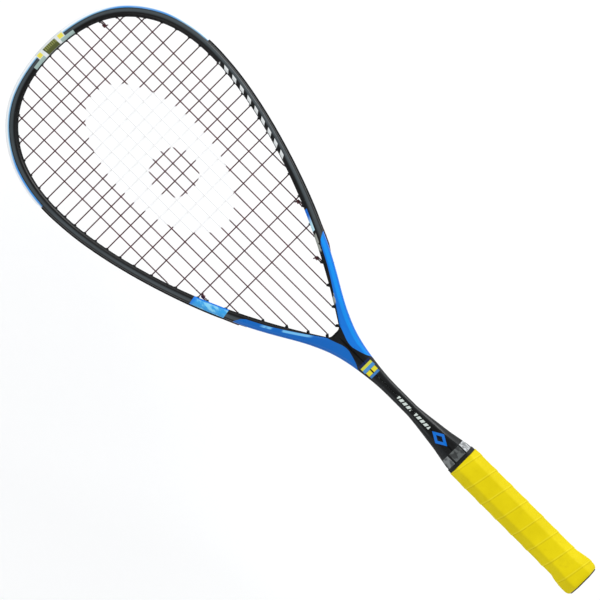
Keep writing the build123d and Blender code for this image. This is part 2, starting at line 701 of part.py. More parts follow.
def make_main_string():
    """From the left tie-off, over the tip between the centre mains, to the right tie-off."""
    left, left_turns = half_of_mains(LEFT)
    right, right_turns = half_of_mains(RIGHT)
    over_tip = loop(main_holes[LEFT, 0, TOP], main_holes[RIGHT, 0, TOP], LANE)
    return string_part(left[::-1] + over_tip + right, [left_turns, right_turns])


def make_cross_string():
    """Tied off on a main at the upper right, down the head, and again at the lower right."""
    first_turns, first_end = tie_off(RIGHT, 4, TOP)
    last_turns, last_end = tie_off(RIGHT, 3, LOW)
    last = len(CROSS_Y) - 1
    path = first_end[::-1]
    path += loop(main_holes[RIGHT, 4, TOP], cross_holes[RIGHT, 0], -LANE,
                 -own_shift(RIGHT, 4, TOP), 0.0)
    for j in range(last + 1):
        rightwards = j % 2 == 1
        path += cross_pass(j, rightwards)
        side = RIGHT if rightwards else LEFT
        if j < last:
            path += loop(cross_holes[side, j], cross_holes[side, j + 1], -LANE)
    path += loop(cross_holes[RIGHT, last], main_holes[RIGHT, 3, LOW], -LANE,
                 0.0, -own_shift(RIGHT, 3, LOW))
    return string_part(path + last_end, [first_turns, last_turns])


# ---------------------------------------------------------------- handle
def octagon_sketch(y, half_x):
    """The handle's octagon at height y, with wide front and back flats."""
    half_z = half_x - THIN
    flat_x, flat_z = half_x * 0.52, half_z * 0.42
    with BuildSketch(across(y)) as made:
        with BuildLine():
            Polyline((half_x, flat_z), (flat_x, half_z), (-flat_x, half_z), (-half_x, flat_z),
                     (-half_x, -flat_z), (-flat_x, -half_z), (flat_x, -half_z),
                     (half_x, -flat_z), close=True)
        make_face()
    return made.sketch


def octagon_solid(stations):
    """Faceted solid through (y, half width) stations."""
    with BuildPart() as made:
        for low, high in zip(stations[:-1], stations[1:]):
            add(octagon_sketch(*low))
            add(octagon_sketch(*high))
            loft(ruled=True)
    return made.part


def make_staples(gap=0.0, open_out=0.0, leg_shift=0.0):
    """A staple on each narrow side of the cap, or with a gap all round, its slot.

    A slot's crown is open_out longer outwards, and its legs are leg_shift further in."""
    wide = STAPLE_WIDE + gap
    with BuildPart() as staples:
        for side in (LEFT, RIGHT):
            with Locations((side * (STAPLE_X + open_out / 2), STAPLE_Y, 0)):
                Box(STAPLE_WIRE + gap + open_out, wide, LEG_GAP + STAPLE_WIRE + gap)
            for z in (-LEG_GAP / 2, LEG_GAP / 2):
                with Locations((side * (STAPLE_X - LEG_DEEP / 2 - leg_shift), STAPLE_Y, z)):
                    Box(LEG_DEEP + gap, wide, STAPLE_WIRE + gap)
    return staples.part


def make_pallets():
    """Both handle pallets in one, with the socket for the shaft's tail."""
    step_y = CAP_FLARE[-1][0] + FIT
    with BuildPart() as pallets:
        add(octagon_solid([(step_y, PALLET_HALF), (HANDLE_TOP - FIT, PALLET_HALF)]))
        add(octagon_solid([(3.3, SPIGOT_HALF), (step_y, SPIGOT_HALF)]))
        with BuildSketch(across(HANDLE_TOP + 1)):
            RectangleRounded(2 * (TAIL_HALF_X + FIT), 2 * (TAIL_HALF_Z + FIT), TAIL_CORNER + FIT)
        extrude(amount=HANDLE_TOP + 1 - TAIL_END + FIT, mode=Mode.SUBTRACT)
    return pallets.part


def make_pallet(pallets, slots, split_z, keep):
    """The part of the pallets above or below split_z."""
    with BuildPart() as pallet:
        add(pallets)
        add(slots, mode=Mode.SUBTRACT)
        split(bisect_by=Plane.XY.offset(split_z), keep=keep)
    return pallet.part


def make_butt_cap(slots):
    with BuildPart() as cap:
        add(octagon_solid(CAP_FLARE))
        add(octagon_solid([(y, CAP_RIM - inset) for y, inset in RIM_EDGE]))
        add(octagon_solid([(3.2, SPIGOT_HALF + FIT), (27.0, SPIGOT_HALF + FIT)]),
            mode=Mode.SUBTRACT)
        with BuildSketch(across(RECESS_FLOOR)):
            Circle(DISC_R + FIT)
        extrude(amount=3, mode=Mode.SUBTRACT)
        add(slots, mode=Mode.SUBTRACT)
    return cap.part


def make_butt_cap_disc():
    with BuildPart() as disc:
        with BuildSketch(across(DISC_THICK + DISC_SINK)):
            Circle(DISC_R)
        extrude(amount=DISC_THICK)
    return disc.part


def make_tail_end_plugs():
    """Plugs in the lower ends of the tail's two channels."""
    with BuildPart() as plugs:
        for side in (RIGHT, LEFT):
            with BuildSketch(across(TAIL_END + PLUG_LONG)):
                with Locations((side * (LEG_END_X + WEB) / 2, 0)):
                    Rectangle(LEG_END_X - WEB - 0.1, 2 * LEG_END_HALF_Z - 0.1)
            extrude(amount=PLUG_LONG)
    return plugs.part


def make_grip_wrap():
    """Sleeve over the cap and the pallets, swollen at the butt."""
    inner = [(y, half + FIT) for y, half in CAP_FLARE]
    inner[0] = (inner[0][0] + FIT, inner[0][1])
    inner.append((HANDLE_TOP - 0.1, PALLET_HALF + FIT))
    # the cutter runs past both ends
    cutter = [(2.0, inner[0][1])] + inner[1:-1] + [(HANDLE_TOP + 1, inner[-1][1])]
    with BuildPart() as wrap:
        add(octagon_solid([(y, half + GRIP_THICK) for y, half in inner]))
        add(octagon_solid(cutter), mode=Mode.SUBTRACT)
    return wrap.part


def make_grip_collar():
    """Ring round the shaft at the top of the grip."""
    with BuildPart() as collar:
        with BuildSketch(across(HANDLE_TOP + COLLAR_TALL)):
            add(rounded_section(Plane.XY, SHAFT_HALF_X + COLLAR_THICK,
                                SHAFT_HALF_Z + COLLAR_THICK, COLLAR_CORNER))
            add(rounded_section(Plane.XY, SHAFT_HALF_X + 0.03, SHAFT_HALF_Z + 0.03,
                                SHAFT_CORNER), mode=Mode.SUBTRACT)
        extrude(amount=COLLAR_TALL - FIT)
    return collar.part


# ---------------------------------------------------------------- files
def save(name, part):
    part.label = name
    export_step(part, f"parts/{name}.step")


os.makedirs("parts", exist_ok=True)

outer_tube = make_outer_tube()
save("frame", make_frame(outer_tube))
save("bumper_guard", make_bumper_guard(outer_tube))
for side, word in ((LEFT, "left"), (RIGHT, "right")):
    save(f"grommet_strip_{word}", make_strip(side))
    throat_holes = [h for h in all_holes if h.y <= STRIP_END_Y and h.tip[0] * side > 0]
    for number, hole in enumerate(sorted(throat_holes, key=lambda h: h.y), 1):
        save(f"throat_grommet_{word}_{number}", make_throat_grommet(hole))

save("main_string", make_main_string())
save("cross_string", make_cross_string())

pallets = make_pallets()
slots = make_staples(gap=0.08, open_out=3.0, leg_shift=0.02)
save("handle_pallet_front", make_pallet(pallets, slots, SPLIT, Keep.TOP))
save("handle_pallet_back", make_pallet(pallets, slots, -SPLIT, Keep.BOTTOM))
save("tail_end_plugs", make_tail_end_plugs())
save("butt_cap", make_butt_cap(slots))
save("butt_cap_staples", make_staples())
save("butt_cap_disc", make_butt_cap_disc())
save("grip_wrap", make_grip_wrap())
save("grip_collar", make_grip_collar())
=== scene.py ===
# A strung racket with a teardrop head, a V-shaped throat and a wound grip.
# The butt is at y = 0 and the tip at y = 683.5 mm. The strings lie in the plane z = 0, the
# front faces +Z, and left is -X. Sizes are in millimetres unless a comment says otherwise.
import bpy
import bmesh
import json
import math
import random
import numpy as np
from mathutils import Vector, Matrix

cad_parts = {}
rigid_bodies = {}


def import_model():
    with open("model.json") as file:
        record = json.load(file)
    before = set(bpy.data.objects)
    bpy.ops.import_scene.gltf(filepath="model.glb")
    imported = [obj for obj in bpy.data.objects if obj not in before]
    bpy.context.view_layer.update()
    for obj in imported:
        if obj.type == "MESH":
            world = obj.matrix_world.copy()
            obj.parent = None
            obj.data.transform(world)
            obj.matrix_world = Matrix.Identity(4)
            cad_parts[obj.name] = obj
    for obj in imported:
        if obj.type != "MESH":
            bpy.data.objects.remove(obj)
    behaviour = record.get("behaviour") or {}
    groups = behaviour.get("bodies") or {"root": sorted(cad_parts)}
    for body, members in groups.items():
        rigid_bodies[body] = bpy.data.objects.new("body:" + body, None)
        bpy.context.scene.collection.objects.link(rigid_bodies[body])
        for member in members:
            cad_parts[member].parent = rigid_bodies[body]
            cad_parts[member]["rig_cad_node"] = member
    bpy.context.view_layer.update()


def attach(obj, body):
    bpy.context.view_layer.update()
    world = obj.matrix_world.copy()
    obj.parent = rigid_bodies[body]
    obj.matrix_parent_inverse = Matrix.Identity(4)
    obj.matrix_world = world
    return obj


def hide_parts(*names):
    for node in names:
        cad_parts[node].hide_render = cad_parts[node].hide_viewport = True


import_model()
random.seed(7)
MM = 0.001

# ---- Sizes shared with the CAD
HALF_BEAM, EDGE_RADIUS = 9.25, 3.1
# Right half of the head's outer and inner lines, from the tip down: x, y
OUTER_POINTS = [
    (0, 683.5), (17, 682.5), (33.8, 679.6), (50, 674.5), (65, 666.4), (77.9, 655.4),
    (88.5, 642.1), (96.6, 627.2), (102, 611.1), (105.1, 594.3), (106.1, 577.3), (105.4, 560.3),
    (103.8, 543.3), (101.2, 526.4), (97.9, 509.7), (94, 493.1), (89.6, 476.7), (84.7, 460.3),
    (79.4, 444.1), (73.7, 428.1), (67.5, 412.3), (60.9, 396.6), (54, 380.8), (46.3, 365.7),
    (37.9, 350.8), (29.4, 336.1), (21.5, 321), (15.1, 305.3), (10.8, 288.7), (8.1, 271.9),
    (6.6, 258), (6.05, 243)]
INNER_POINTS = [
    (0, 675.6), (17.3, 674.6), (34.3, 671.4), (50.4, 665.4), (64.9, 655.9), (76.9, 643.5),
    (86.2, 629), (92.6, 612.9), (96.3, 596.1), (97.8, 578.8), (97.6, 561.6), (96.1, 544.3),
    (93.6, 527.2), (90.4, 510.2), (86.4, 493.4), (81.8, 476.7), (76.7, 460.2), (71, 443.9),
    (64.8, 427.7), (58, 411.8), (50.8, 396.1), (43.1, 380.6), (35, 365.3), (26.5, 350.2),
    (17.6, 335.4), (8.4, 320.8)]
# Main strings, counted outwards from the middle
MAIN_TOP_X = [5, 15.8, 26.6, 37.9, 49.8, 62.7, 76.2]
MAIN_TOP_Y = 672
MAIN_LOW_X = [5.1, 15.3, 25.7, 37, 48.7, 60.7, 74.6]
MAIN_LOW_Y = [321.7, 336.1, 353.3, 372.2, 393, 420.1, 455.9]
CROSS_Y = [653.6, 639.3, 625.4, 611.8, 598.3, 586.3, 574.8, 563.5, 551.8,
           540.4, 528.5, 516, 502.4, 487.9, 470.8, 447.6, 427.1, 402.2]
STRIP_END_Y, BUMPER_END_Y, END_GAP = 377, 584, 0.15
THROAT_HALF, THROAT_DEEP, THROAT_END_Y = 2.7, 1.9, 291
GROOVE_HALF, GROOVE_DEEP = 4.3, 1
RAIL_PROUD, GUARD_PROUD, GUARD_HALF = 1.5, 2.5, 8.5
STRING_RADIUS, WEAVE, LANE = 0.6, 0.62, 1.26  # WEAVE and LANE are offsets from the plane z = 0
BORE, BARREL, BIG_BORE, BIG_BARREL = 0.8, 1.42, 1.5, 2.1  # radii
TIP_PROUD, BEND_LIMIT = 1.2, math.radians(30)
SHARED_SHIFT = 0.68  # sideways shift of each string in a shared hole
HANDLE_TOP, DEPTH_LESS, GRIP_THICK = 154, 1.9, 1.1
# y, half width, half depth, corner radius
SHAFT = [(158, 14.35, 12.95, 6), (168, 12.9, 12.75, 5.4), (180, 10.7, 11.95, 4.6),
         (194, 8.85, 10.9, 3.8), (208, 7.1, 9.85, 3.3), (220, 6.1, 9.35, 3.1),
         (232, 6.05, 9.25, 3.1), (243, 6.05, 9.25, 3.1)]
SHAFT_FACET = 0.86  # how flat the corners are near the grip, 1 being a plain chamfer


# ---- Curves
def unit(vector):
    vector = np.asarray(vector, float)
    return vector / np.linalg.norm(vector)


def smoothstep(low, high, value):
    share = np.clip((value - low) / (high - low), 0, 1)
    return share * share * (3 - 2 * share)


def hermite(start, start_slope, end, end_slope, share):
    """Cubic from start to end, with slopes taken over the whole span."""
    square, cube = share**2, share**3
    return ((2 * cube - 3 * square + 1) * start + (cube - 2 * square + share) * start_slope
            + (-2 * cube + 3 * square) * end + (cube - square) * end_slope)


def monotone(knots, values, where):
    """Cubic interpolation that never overshoots, held constant past the ends."""
    gaps = np.diff(knots)
    steep = np.diff(values) / gaps
    slopes = np.zeros(len(knots))
    for i in range(1, len(knots) - 1):
        if steep[i - 1] * steep[i] > 0:
            before, after = 2 * gaps[i] + gaps[i - 1], gaps[i] + 2 * gaps[i - 1]
            slopes[i] = (before + after) / (before / steep[i - 1] + after / steep[i])
    slopes[-1] = steep[-1]
    k = np.clip(np.searchsorted(knots, where, side="right") - 1, 0, len(gaps) - 1)
    share = np.clip((where - knots[k]) / gaps[k], 0, 1)
    return float(hermite(values[k], gaps[k] * slopes[k],
                         values[k + 1], gaps[k] * slopes[k + 1], share))


class Curve:
    """A dense open 2-D curve with its lengths and its left, outward normals."""

    def __init__(self, points):
        self.points = points
        self.lengths = np.r_[0, np.cumsum(np.hypot(*np.diff(points, axis=0).T))]
        self.total = self.lengths[-1]
        tangents = np.gradient(points, self.lengths, axis=0)
        tangents /= np.linalg.norm(tangents, axis=1)[:, None]
        self.normals = np.c_[-tangents[:, 1], tangents[:, 0]]

    def at(self, along):
        return np.array([np.interp(along, self.lengths, part) for part in self.points.T])

    def normal(self, along):
        return unit([np.interp(along, self.lengths, part) for part in self.normals.T])

    def nearest(self, point):
        return self.lengths[np.argmin(((self.points - point[:2]) ** 2).sum(1))]


def mirrored_spline(half, first_slope, count):
    """Clamped smooth spline through a right half and its mirror image, starting low on the left."""
    points = np.array([(-x, y) for x, y in half[:0:-1]] + half, float)
    gaps = np.hypot(*np.diff(points, axis=0).T)
    knots = np.r_[0, np.cumsum(gaps)]
    system, target = np.eye(len(points)), np.zeros_like(points)
    target[0], target[-1] = first_slope, (first_slope[0], -first_slope[1])
    for i in range(1, len(gaps)):
        before, after = gaps[i - 1], gaps[i]
        system[i, i - 1:i + 2] = after, 2 * (before + after), before
        target[i] = 3 * (before * (points[i + 1] - points[i]) / after
                         + after * (points[i] - points[i - 1]) / before)
    slopes = np.linalg.solve(system, target)
    where = np.linspace(0, knots[-1], count)
    k = np.clip(np.searchsorted(knots, where, side="right") - 1, 0, len(gaps) - 1)
    gap = gaps[k][:, None]
    return Curve(hermite(points[k], gap * slopes[k], points[k + 1], gap * slopes[k + 1],
                         (where - knots[k])[:, None] / gap))


def ray_hit(curve, origin, direction, far):
    """Distance along a ray to a curve, and the length along the curve there."""
    toward, chord = curve.points[:-1] - origin, np.diff(curve.points, axis=0)
    cross = chord[:, 0] * direction[1] - chord[:, 1] * direction[0]
    cross = np.where(abs(cross) < 1e-12, 1e-12, cross)
    distance = (chord[:, 0] * toward[:, 1] - chord[:, 1] * toward[:, 0]) / cross
    share = (direction[0] * toward[:, 1] - direction[1] * toward[:, 0]) / cross
    hits = np.where((share >= -1e-9) & (share <= 1 + 1e-9) & (distance > -5) & (distance < far))[0]
    k = hits[np.argmin(distance[hits])]
    start, end = curve.lengths[k:k + 2]
    return float(distance[k]), float(start + share[k] * (end - start))


OUTER = mirrored_spline(OUTER_POINTS, first_slope=(0, 1), count=6000)
INNER = mirrored_spline(INNER_POINTS, first_slope=(-0.54, 0.842), count=5000)
TIP_ALONG = OUTER.total / 2


def outer_along(y, side=1):
    """Length along the outer curve where it passes height y on one side."""
    rows = np.where((OUTER.lengths - TIP_ALONG) * side >= 0)[0]
    return OUTER.lengths[rows[np.argmin(abs(OUTER.points[rows, 1] - y))]]


# ---- Meshes
def grid_faces(rows, columns, closed_columns, closed_rows=False, start=0):
    faces = []
    for row in range(rows if closed_rows else rows - 1):
        here, above = start + row * columns, start + (row + 1) % rows * columns
        for column in range(columns if closed_columns else columns - 1):
            beside = (column + 1) % columns
            faces.append((here + column, here + beside, above + beside, above + column))
    return faces


class Build:
    """Collects grids of points in one mesh."""

    def __init__(self):
        self.points, self.faces, self.attributes = [], [], {}

    def grid(self, points, closed_columns=True, closed_rows=False, caps=True, **attributes):
        points = np.asarray(points, float)
        rows, columns = points.shape[:2]
        start = sum(len(part) for part in self.points)
        self.points.append(points.reshape(-1, 3))
        self.faces += grid_faces(rows, columns, closed_columns, closed_rows, start)
        if caps:
            self.faces.append(tuple(range(start, start + columns))[::-1])
            last = start + (rows - 1) * columns
            self.faces.append(tuple(range(last, last + columns)))
        for key, value in attributes.items():
            spread = np.broadcast_to(np.asarray(value, float), (rows, columns))
            self.attributes.setdefault(key, []).append(spread.reshape(-1))
        return start

    def object(self, name, slot, smooth_angle, material):
        mesh = bpy.data.meshes.new(name)
        mesh.from_pydata((np.concatenate(self.points) * MM).tolist(), [], self.faces)
        for key, values in self.attributes.items():
            data = mesh.attributes.new(key, "FLOAT", "POINT").data
            data.foreach_set("value", np.concatenate(values).astype(np.float32))
        mesh.validate()
        made = bpy.data.objects.new(name, mesh)
        bpy.context.scene.collection.objects.link(made)
        smooth_mesh(mesh, math.radians(smooth_angle))
        mesh.materials.append(material)
        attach(made, "root")
        return made


def smooth_mesh(mesh, sharp_angle):
    """Joins seams and shades smooth, apart from edges sharper than an angle."""
    work = bmesh.new()
    work.from_mesh(mesh)
    bmesh.ops.remove_doubles(work, verts=work.verts, dist=1e-7)
    bmesh.ops.recalc_face_normals(work, faces=work.faces)
    for face in work.faces:
        face.smooth = True
    for edge in work.edges:
        if len(edge.link_faces) == 2 and edge.calc_face_angle(0) > sharp_angle:
            edge.smooth = False
    work.to_mesh(mesh)
    work.free()


# ---- Frame: hoop, arms, shaft and tail in one mesh
ROUND_STEPS, FACE_STEPS, ARM_STEPS, THROAT_STEPS = 7, 8, 112, 16
# Heights down the side walls, with a close pair at each groove's lip
WALL_HEIGHTS = [HALF_BEAM - EDGE_RADIUS, GROOVE_HALF + 0.16, GROOVE_HALF,
                THROAT_HALF + 0.16, THROAT_HALF, 1.3, 0]
INNER_COLUMNS = len(WALL_HEIGHTS) + ROUND_STEPS
# Floor of the V from its right side to the middle: x, y, and the normal's x, y
V_FLOOR_Y = 316.75
V_FLOOR = np.array([
    (8.4, 320.8, 0.842, -0.54), (7.3, 319.06, 0.8, -0.6), (6.2, 317.85, 0.6, -0.8),
    (4.9, 317.05, 0.33, -0.944), (3.3, V_FLOOR_Y, 0.08, -0.997), (2, V_FLOOR_Y, 0, -1),
    (1, V_FLOOR_Y, 0, -1), (0, V_FLOOR_Y, 0, -1)])
V_ALONG = outer_along(296)
SHAFT_START_Y = 262
SHAFT_ALONG = outer_along(SHAFT_START_Y)
# Dark areas beside the bright arms: heights, then widths
DARK_EDGE = ([317, 319, 328, 346, 364, 382, 400], [0.3, 0.6, 1.1, 2.2, 3.3, 3.3, 3.2])
DARK_WEDGE = ([240, 279, 283, 287.4, 292, 297, 301, 305, 310, 316, 319],
              [9.9, 8.6, 6.3, 4.7, 3.4, 2.1, 2.2, 3.1, 5, 7.2, 8])


class Section:
    """The line across the tube from its inner to its outer side, in the string plane."""

    def __init__(self, inner, inner_normal, outer, outer_normal):
        inner, outer = np.array(inner, float), np.array(outer, float)
        chord = np.linalg.norm(outer - inner)
        self.normal = np.array(outer_normal, float)
        self.line = hermite(inner, np.array(inner_normal) * chord, outer, self.normal * chord,
                            np.linspace(0, 1, 60)[:, None])
        self.lengths = np.r_[0, np.cumsum(np.hypot(*np.diff(self.line, axis=0).T))]
        self.width = self.lengths[-1]

    def at(self, distance):
        return np.array([np.interp(distance, self.lengths, part) for part in self.line.T])


def groove_depth(z, y):
    """How far the outer wall is cut back at height z from the string plane."""
    if y > STRIP_END_Y:
        return GROOVE_DEEP if z <= GROOVE_HALF + 1e-6 else 0
    if y > THROAT_END_Y:
        return THROAT_DEEP if z <= THROAT_HALF + 1e-6 else 0
    return 0


def half_ring(section, groove_y, half_depth=HALF_BEAM, radius=EDGE_RADIUS, inner=True, facet=0):
    """Front half of an outline as (point, z, share across), ending at the outer wall's middle.

    It starts at the inner wall's middle or, without an inner side, on the front face.
    """
    width = section.width
    crown = 0.1 if facet < 0.5 else 0

    def corner(step):
        """Offset in from the side and height, for a quarter round blended with a chamfer."""
        share = step / ROUND_STEPS
        angle = math.pi / 2 * share
        inset = radius * ((1 - math.cos(angle)) * (1 - facet) + share * facet)
        drop = radius * ((1 - math.sin(angle)) * (1 - facet) + (1 - share) * facet)
        return inset, half_depth - drop - crown * share

    wall = [z * (half_depth - radius) / (HALF_BEAM - EDGE_RADIUS) for z in WALL_HEIGHTS]
    ring, face_start = [], 0
    if inner:
        ring = [(section.at(0), z, 0) for z in wall[::-1]]
        for step in range(1, ROUND_STEPS + 1):
            inset, z = corner(step)
            ring.append((section.at(inset), z, inset / width))
        face_start = radius
    for step in range(1 if inner else 0, FACE_STEPS + 1):
        share = step / FACE_STEPS
        across = face_start + (width - radius - face_start) * share
        rise = crown * (1 - ((2 * share - 1) if inner else share) ** 2)
        ring.append((section.at(across), half_depth - crown + rise, across / width))
    for step in range(ROUND_STEPS - 1, -1, -1):
        inset, z = corner(step)
        ring.append((section.at(width - inset), z, 1 - inset / width))
    for z, level in list(zip(wall, WALL_HEIGHTS))[1:]:
        ring.append((section.at(width) - section.normal * groove_depth(level, groove_y), z, 1))
    return ring


def head_row(point, normal, along, groove_y):
    """Row with an inner side: (half ring, length along the outer curve, width)."""
    outer, outer_normal = OUTER.at(along), OUTER.normal(along)
    if along <= TIP_ALONG + 1e-6:
        outer, outer_normal = (0, outer[1]), (0, 1)
    section = Section(point, normal, outer, outer_normal)
    return half_ring(section, groove_y), along, section.width


def head_rows():
    """Rows of the hoop and arm, from the tip to the middle of the V's floor."""
    stations = []
    for k in range(ARM_STEPS + 1):
        along = INNER.total / 2 * (1 + k / ARM_STEPS)
        point, normal = INNER.at(along), INNER.normal(along)
        if k == 0:
            point, normal = np.array([0, point[1]]), np.array([0.0, 1])
        stations.append((point, normal, ray_hit(OUTER, point, normal, far=40)[1]))
    arm_end = stations[-1][2]
    lengths = np.r_[0, np.cumsum(np.hypot(*np.diff(V_FLOOR[:, :2], axis=0).T))]
    for row, length in zip(V_FLOOR[1:], lengths[1:]):
        along = arm_end + (V_ALONG - arm_end) * length / lengths[-1]
        stations.append((row[:2], unit(row[2:]), along))

    rows = [head_row(*stations[0], OUTER.at(stations[0][2])[1])]
    strip_end = outer_along(STRIP_END_Y)
    for (point0, normal0, along0), (point, normal, along) in zip(stations, stations[1:]):
        if along0 < strip_end <= along:  # a close pair of rows where the groove changes
            share = (strip_end - along0) / (along - along0)
            middle = point0 * (1 - share) + point * share
            turned = unit(normal0 * (1 - share) + normal * share)
            for way in (-1, 1):
                rows.append(head_row(middle + way * (point - middle) * 0.01, turned,
                                     strip_end + way * 0.05, STRIP_END_Y - way))
        rows.append(head_row(point, normal, along, OUTER.at(along)[1]))
    return rows


def shaft_rows(last_head_row):
    """Rows from the middle plane to the outer side, from the V's floor to the tail."""
    half = last_head_row[0][INNER_COLUMNS - 1:]
    half[0] = (np.array([0, half[0][0][1]]), *half[0][1:])
    rows = [(half, *last_head_row[1:])]

    def add(along, middle_y, direction, outer, outer_normal, groove_y, *size):
        section = Section((0, middle_y), direction, outer, outer_normal)
        ring = half_ring(section, groove_y, *size[:2], inner=False, facet=sum(size[2:]))
        rows.append((ring, along, section.width))

    def add_level(along, y, half_width, *size):
        add(along, y, (1, 0), (half_width, y), (1, 0), y, *size)

    start_y = V_FLOOR_Y - EDGE_RADIUS
    throat_end = outer_along(THROAT_END_Y)
    steps = np.linspace(V_ALONG, SHAFT_ALONG, THROAT_STEPS + 1)
    for before, after in zip(steps, steps[1:]):
        cuts = [(after, OUTER.at(after)[1])]
        if before < throat_end <= after:
            cuts = [(throat_end + way * 0.05, THROAT_END_Y - way) for way in (-1, 1)] + cuts
        for along, groove_y in cuts:
            share = (along - V_ALONG) / (SHAFT_ALONG - V_ALONG)
            tilt = smoothstep(0, 0.25, share) * math.pi / 2
            add(along, start_y + (SHAFT_START_Y - start_y) * share,
                (math.sin(tilt), -math.cos(tilt)), OUTER.at(along), OUTER.normal(along), groove_y)
    table = np.array(SHAFT, float).T
    for y in np.linspace(SHAFT_START_Y, SHAFT[-1][0], 6)[1:]:
        along = outer_along(y)
        add_level(along, y, OUTER.at(along)[0])
    for y in [*np.linspace(SHAFT[-1][0], SHAFT[0][0], 44)[1:], 156, HANDLE_TOP]:
        size = [monotone(table[0], column, y) for column in table[1:]]
        facet = SHAFT_FACET * float(smoothstep(224, 176, y))
        add_level(SHAFT_ALONG + SHAFT_START_Y - y, y, *size, facet)
    for y in (HANDLE_TOP, 110, 66, 22):  # tail inside the handle
        add_level(SHAFT_ALONG + SHAFT_START_Y - y, y, 9.5, 7.5, 2)
    return rows


def blue_depth(x, y, from_inner):
    """Signed distance into the bright arms, inside their dark edge, wedge and ends."""
    start = 382 + 7.4 * min(1, from_inner / 8.5) - y
    if y > DARK_WEDGE[0][-1]:
        inside = from_inner - float(np.interp(y, *DARK_EDGE))
    else:
        inside = abs(x) - float(np.interp(y, *DARK_WEDGE))
    return min(start, inside, y - SHAFT_START_Y)


def add_frame_part(build, rows, mirror, closed):
    """One side of the frame; fu is the share across, fs runs along and rho across."""
    points, shares, alongs, blues, depths = [], [], [], [], []
    for half, along, width in rows:
        back = half[1 if closed else 0:-1][::-1]
        outline = half + [(point, -z, share) for point, z, share in back]
        points.append([(point[0] * mirror, point[1], z) for point, z, _ in outline])
        shares.append([share for *_, share in outline])
        alongs.append([(along - TIP_ALONG) * mirror])
        blues.append([blue_depth(x, y, share * width if closed else 20)
                      for (x, y, _), share in zip(points[-1], shares[-1])])
        depths.append([-(1 - share) * width for share in shares[-1]])
    if closed:  # the last ring's inner side lies on the middle plane
        for column in range(1 - INNER_COLUMNS, INNER_COLUMNS):
            points[-1][column] = (0, *points[-1][column][1:])
    return build.grid(points, closed_columns=closed, caps=False,
                      fu=shares, fs=alongs, blue=blues, rho=depths)


def build_frame():
    build = Build()
    head = head_rows()
    shaft = shaft_rows(head[-1])
    for mirror in (1, -1):
        add_frame_part(build, head, mirror, closed=True)
    for mirror in (1, -1):
        start = add_frame_part(build, shaft, mirror, closed=False)
        half_count = len(shaft[-1][0])
        columns = 2 * half_count - 1
        base = start + (len(shaft) - 1) * columns
        for c in range(half_count - 2):  # end face of the tail
            far = base + columns - 1 - c
            build.faces.append((base + c, base + c + 1, far - 1, far))
        tip = base + half_count - 2
        build.faces.append((tip, tip + 1, tip + 2))
    return build


# ---- String holes
def string_height(y):
    """Height of a string's centre over the tube's outer surface."""
    return STRING_RADIUS + 0.05 if y > 372 else -THROAT_DEEP + 0.75 + STRING_RADIUS + 0.05


class Hole:
    """A hole from a grommet's tip inside the hoop out through the tube."""

    def __init__(self, tip, pull, shift=0, limit=BEND_LIMIT):
        self.tip, pull = np.asarray(tip, float), unit(pull)
        self.shift = shift  # sideways place of the first string in a shared hole
        self.big = shift != 0
        self.along = OUTER.nearest(self.tip)
        for _ in range(4):
            normal = OUTER.normal(self.along)
            self.direction = pull
            if math.acos(max(-1, min(1, float(normal @ pull)))) > limit:
                turn = math.copysign(limit, normal[0] * pull[1] - normal[1] * pull[0])
                cos, sin = math.cos(turn), math.sin(turn)
                self.direction = np.array([normal[0] * cos - normal[1] * sin,
                                           normal[0] * sin + normal[1] * cos])
            self.length, self.along = ray_hit(OUTER, self.tip, self.direction, far=60)
        self.y = float(OUTER.at(self.along)[1])
        self.cos = float(OUTER.normal(self.along) @ self.direction)

    def run(self, second=False):
        """Inner and outer ends of the first or the second string through the hole."""
        (x, y), (across, up) = self.tip, self.direction
        shift = -self.shift if second else self.shift
        x, y = x - up * shift, y + across * shift
        reach = self.length + string_height(self.y) / max(0.3, self.cos)
        return (x, y, 0), (x + across * reach, y + up * reach, 0)


def inner_tip(origin, pull):
    distance, _ = ray_hit(INNER, origin, pull, far=200)
    return np.asarray(origin, float) + np.array(pull) * (distance - TIP_PROUD)


def main_x(i, side, y):
    share = (y - MAIN_LOW_Y[i]) / (MAIN_TOP_Y - MAIN_LOW_Y[i])
    return side * (MAIN_LOW_X[i] + (MAIN_TOP_X[i] - MAIN_LOW_X[i]) * share)


# Keys are (side, string, end) with end 1 at the top, and (side, string)
SHARED_HOLES = {(1, 4, 1), (1, 3, -1), (-1, 5, -1), (1, 5, -1)}
main_holes, cross_holes = {}, {}
for side in (-1, 1):
    for i in range(7):
        rise = MAIN_TOP_Y - MAIN_LOW_Y[i]
        up = unit(((MAIN_TOP_X[i] - MAIN_LOW_X[i]) * side / rise, 1))
        tips = {1: inner_tip((main_x(i, side, 560), 560), up),
                -1: (side * MAIN_LOW_X[i], MAIN_LOW_Y[i])}
        for end, tip in tips.items():
            shift = side * end * SHARED_SHIFT if (side, i, end) in SHARED_HOLES else 0
            limit = math.radians(8) if (i, end) == (6, -1) else BEND_LIMIT
            main_holes[side, i, end] = Hole(tip, up * end, shift, limit)
for j, y in enumerate(CROSS_Y):
    for side in (-1, 1):
        cross_holes[side, j] = Hole(inner_tip((0, y), (side, 0)), (side, 0))


# ---- Strings; a run is a list of points and a list of bend radii
def outside_point(along, z):
    point, normal = OUTER.at(along), OUTER.normal(along)
    return (*(point + normal * string_height(point[1])), z)


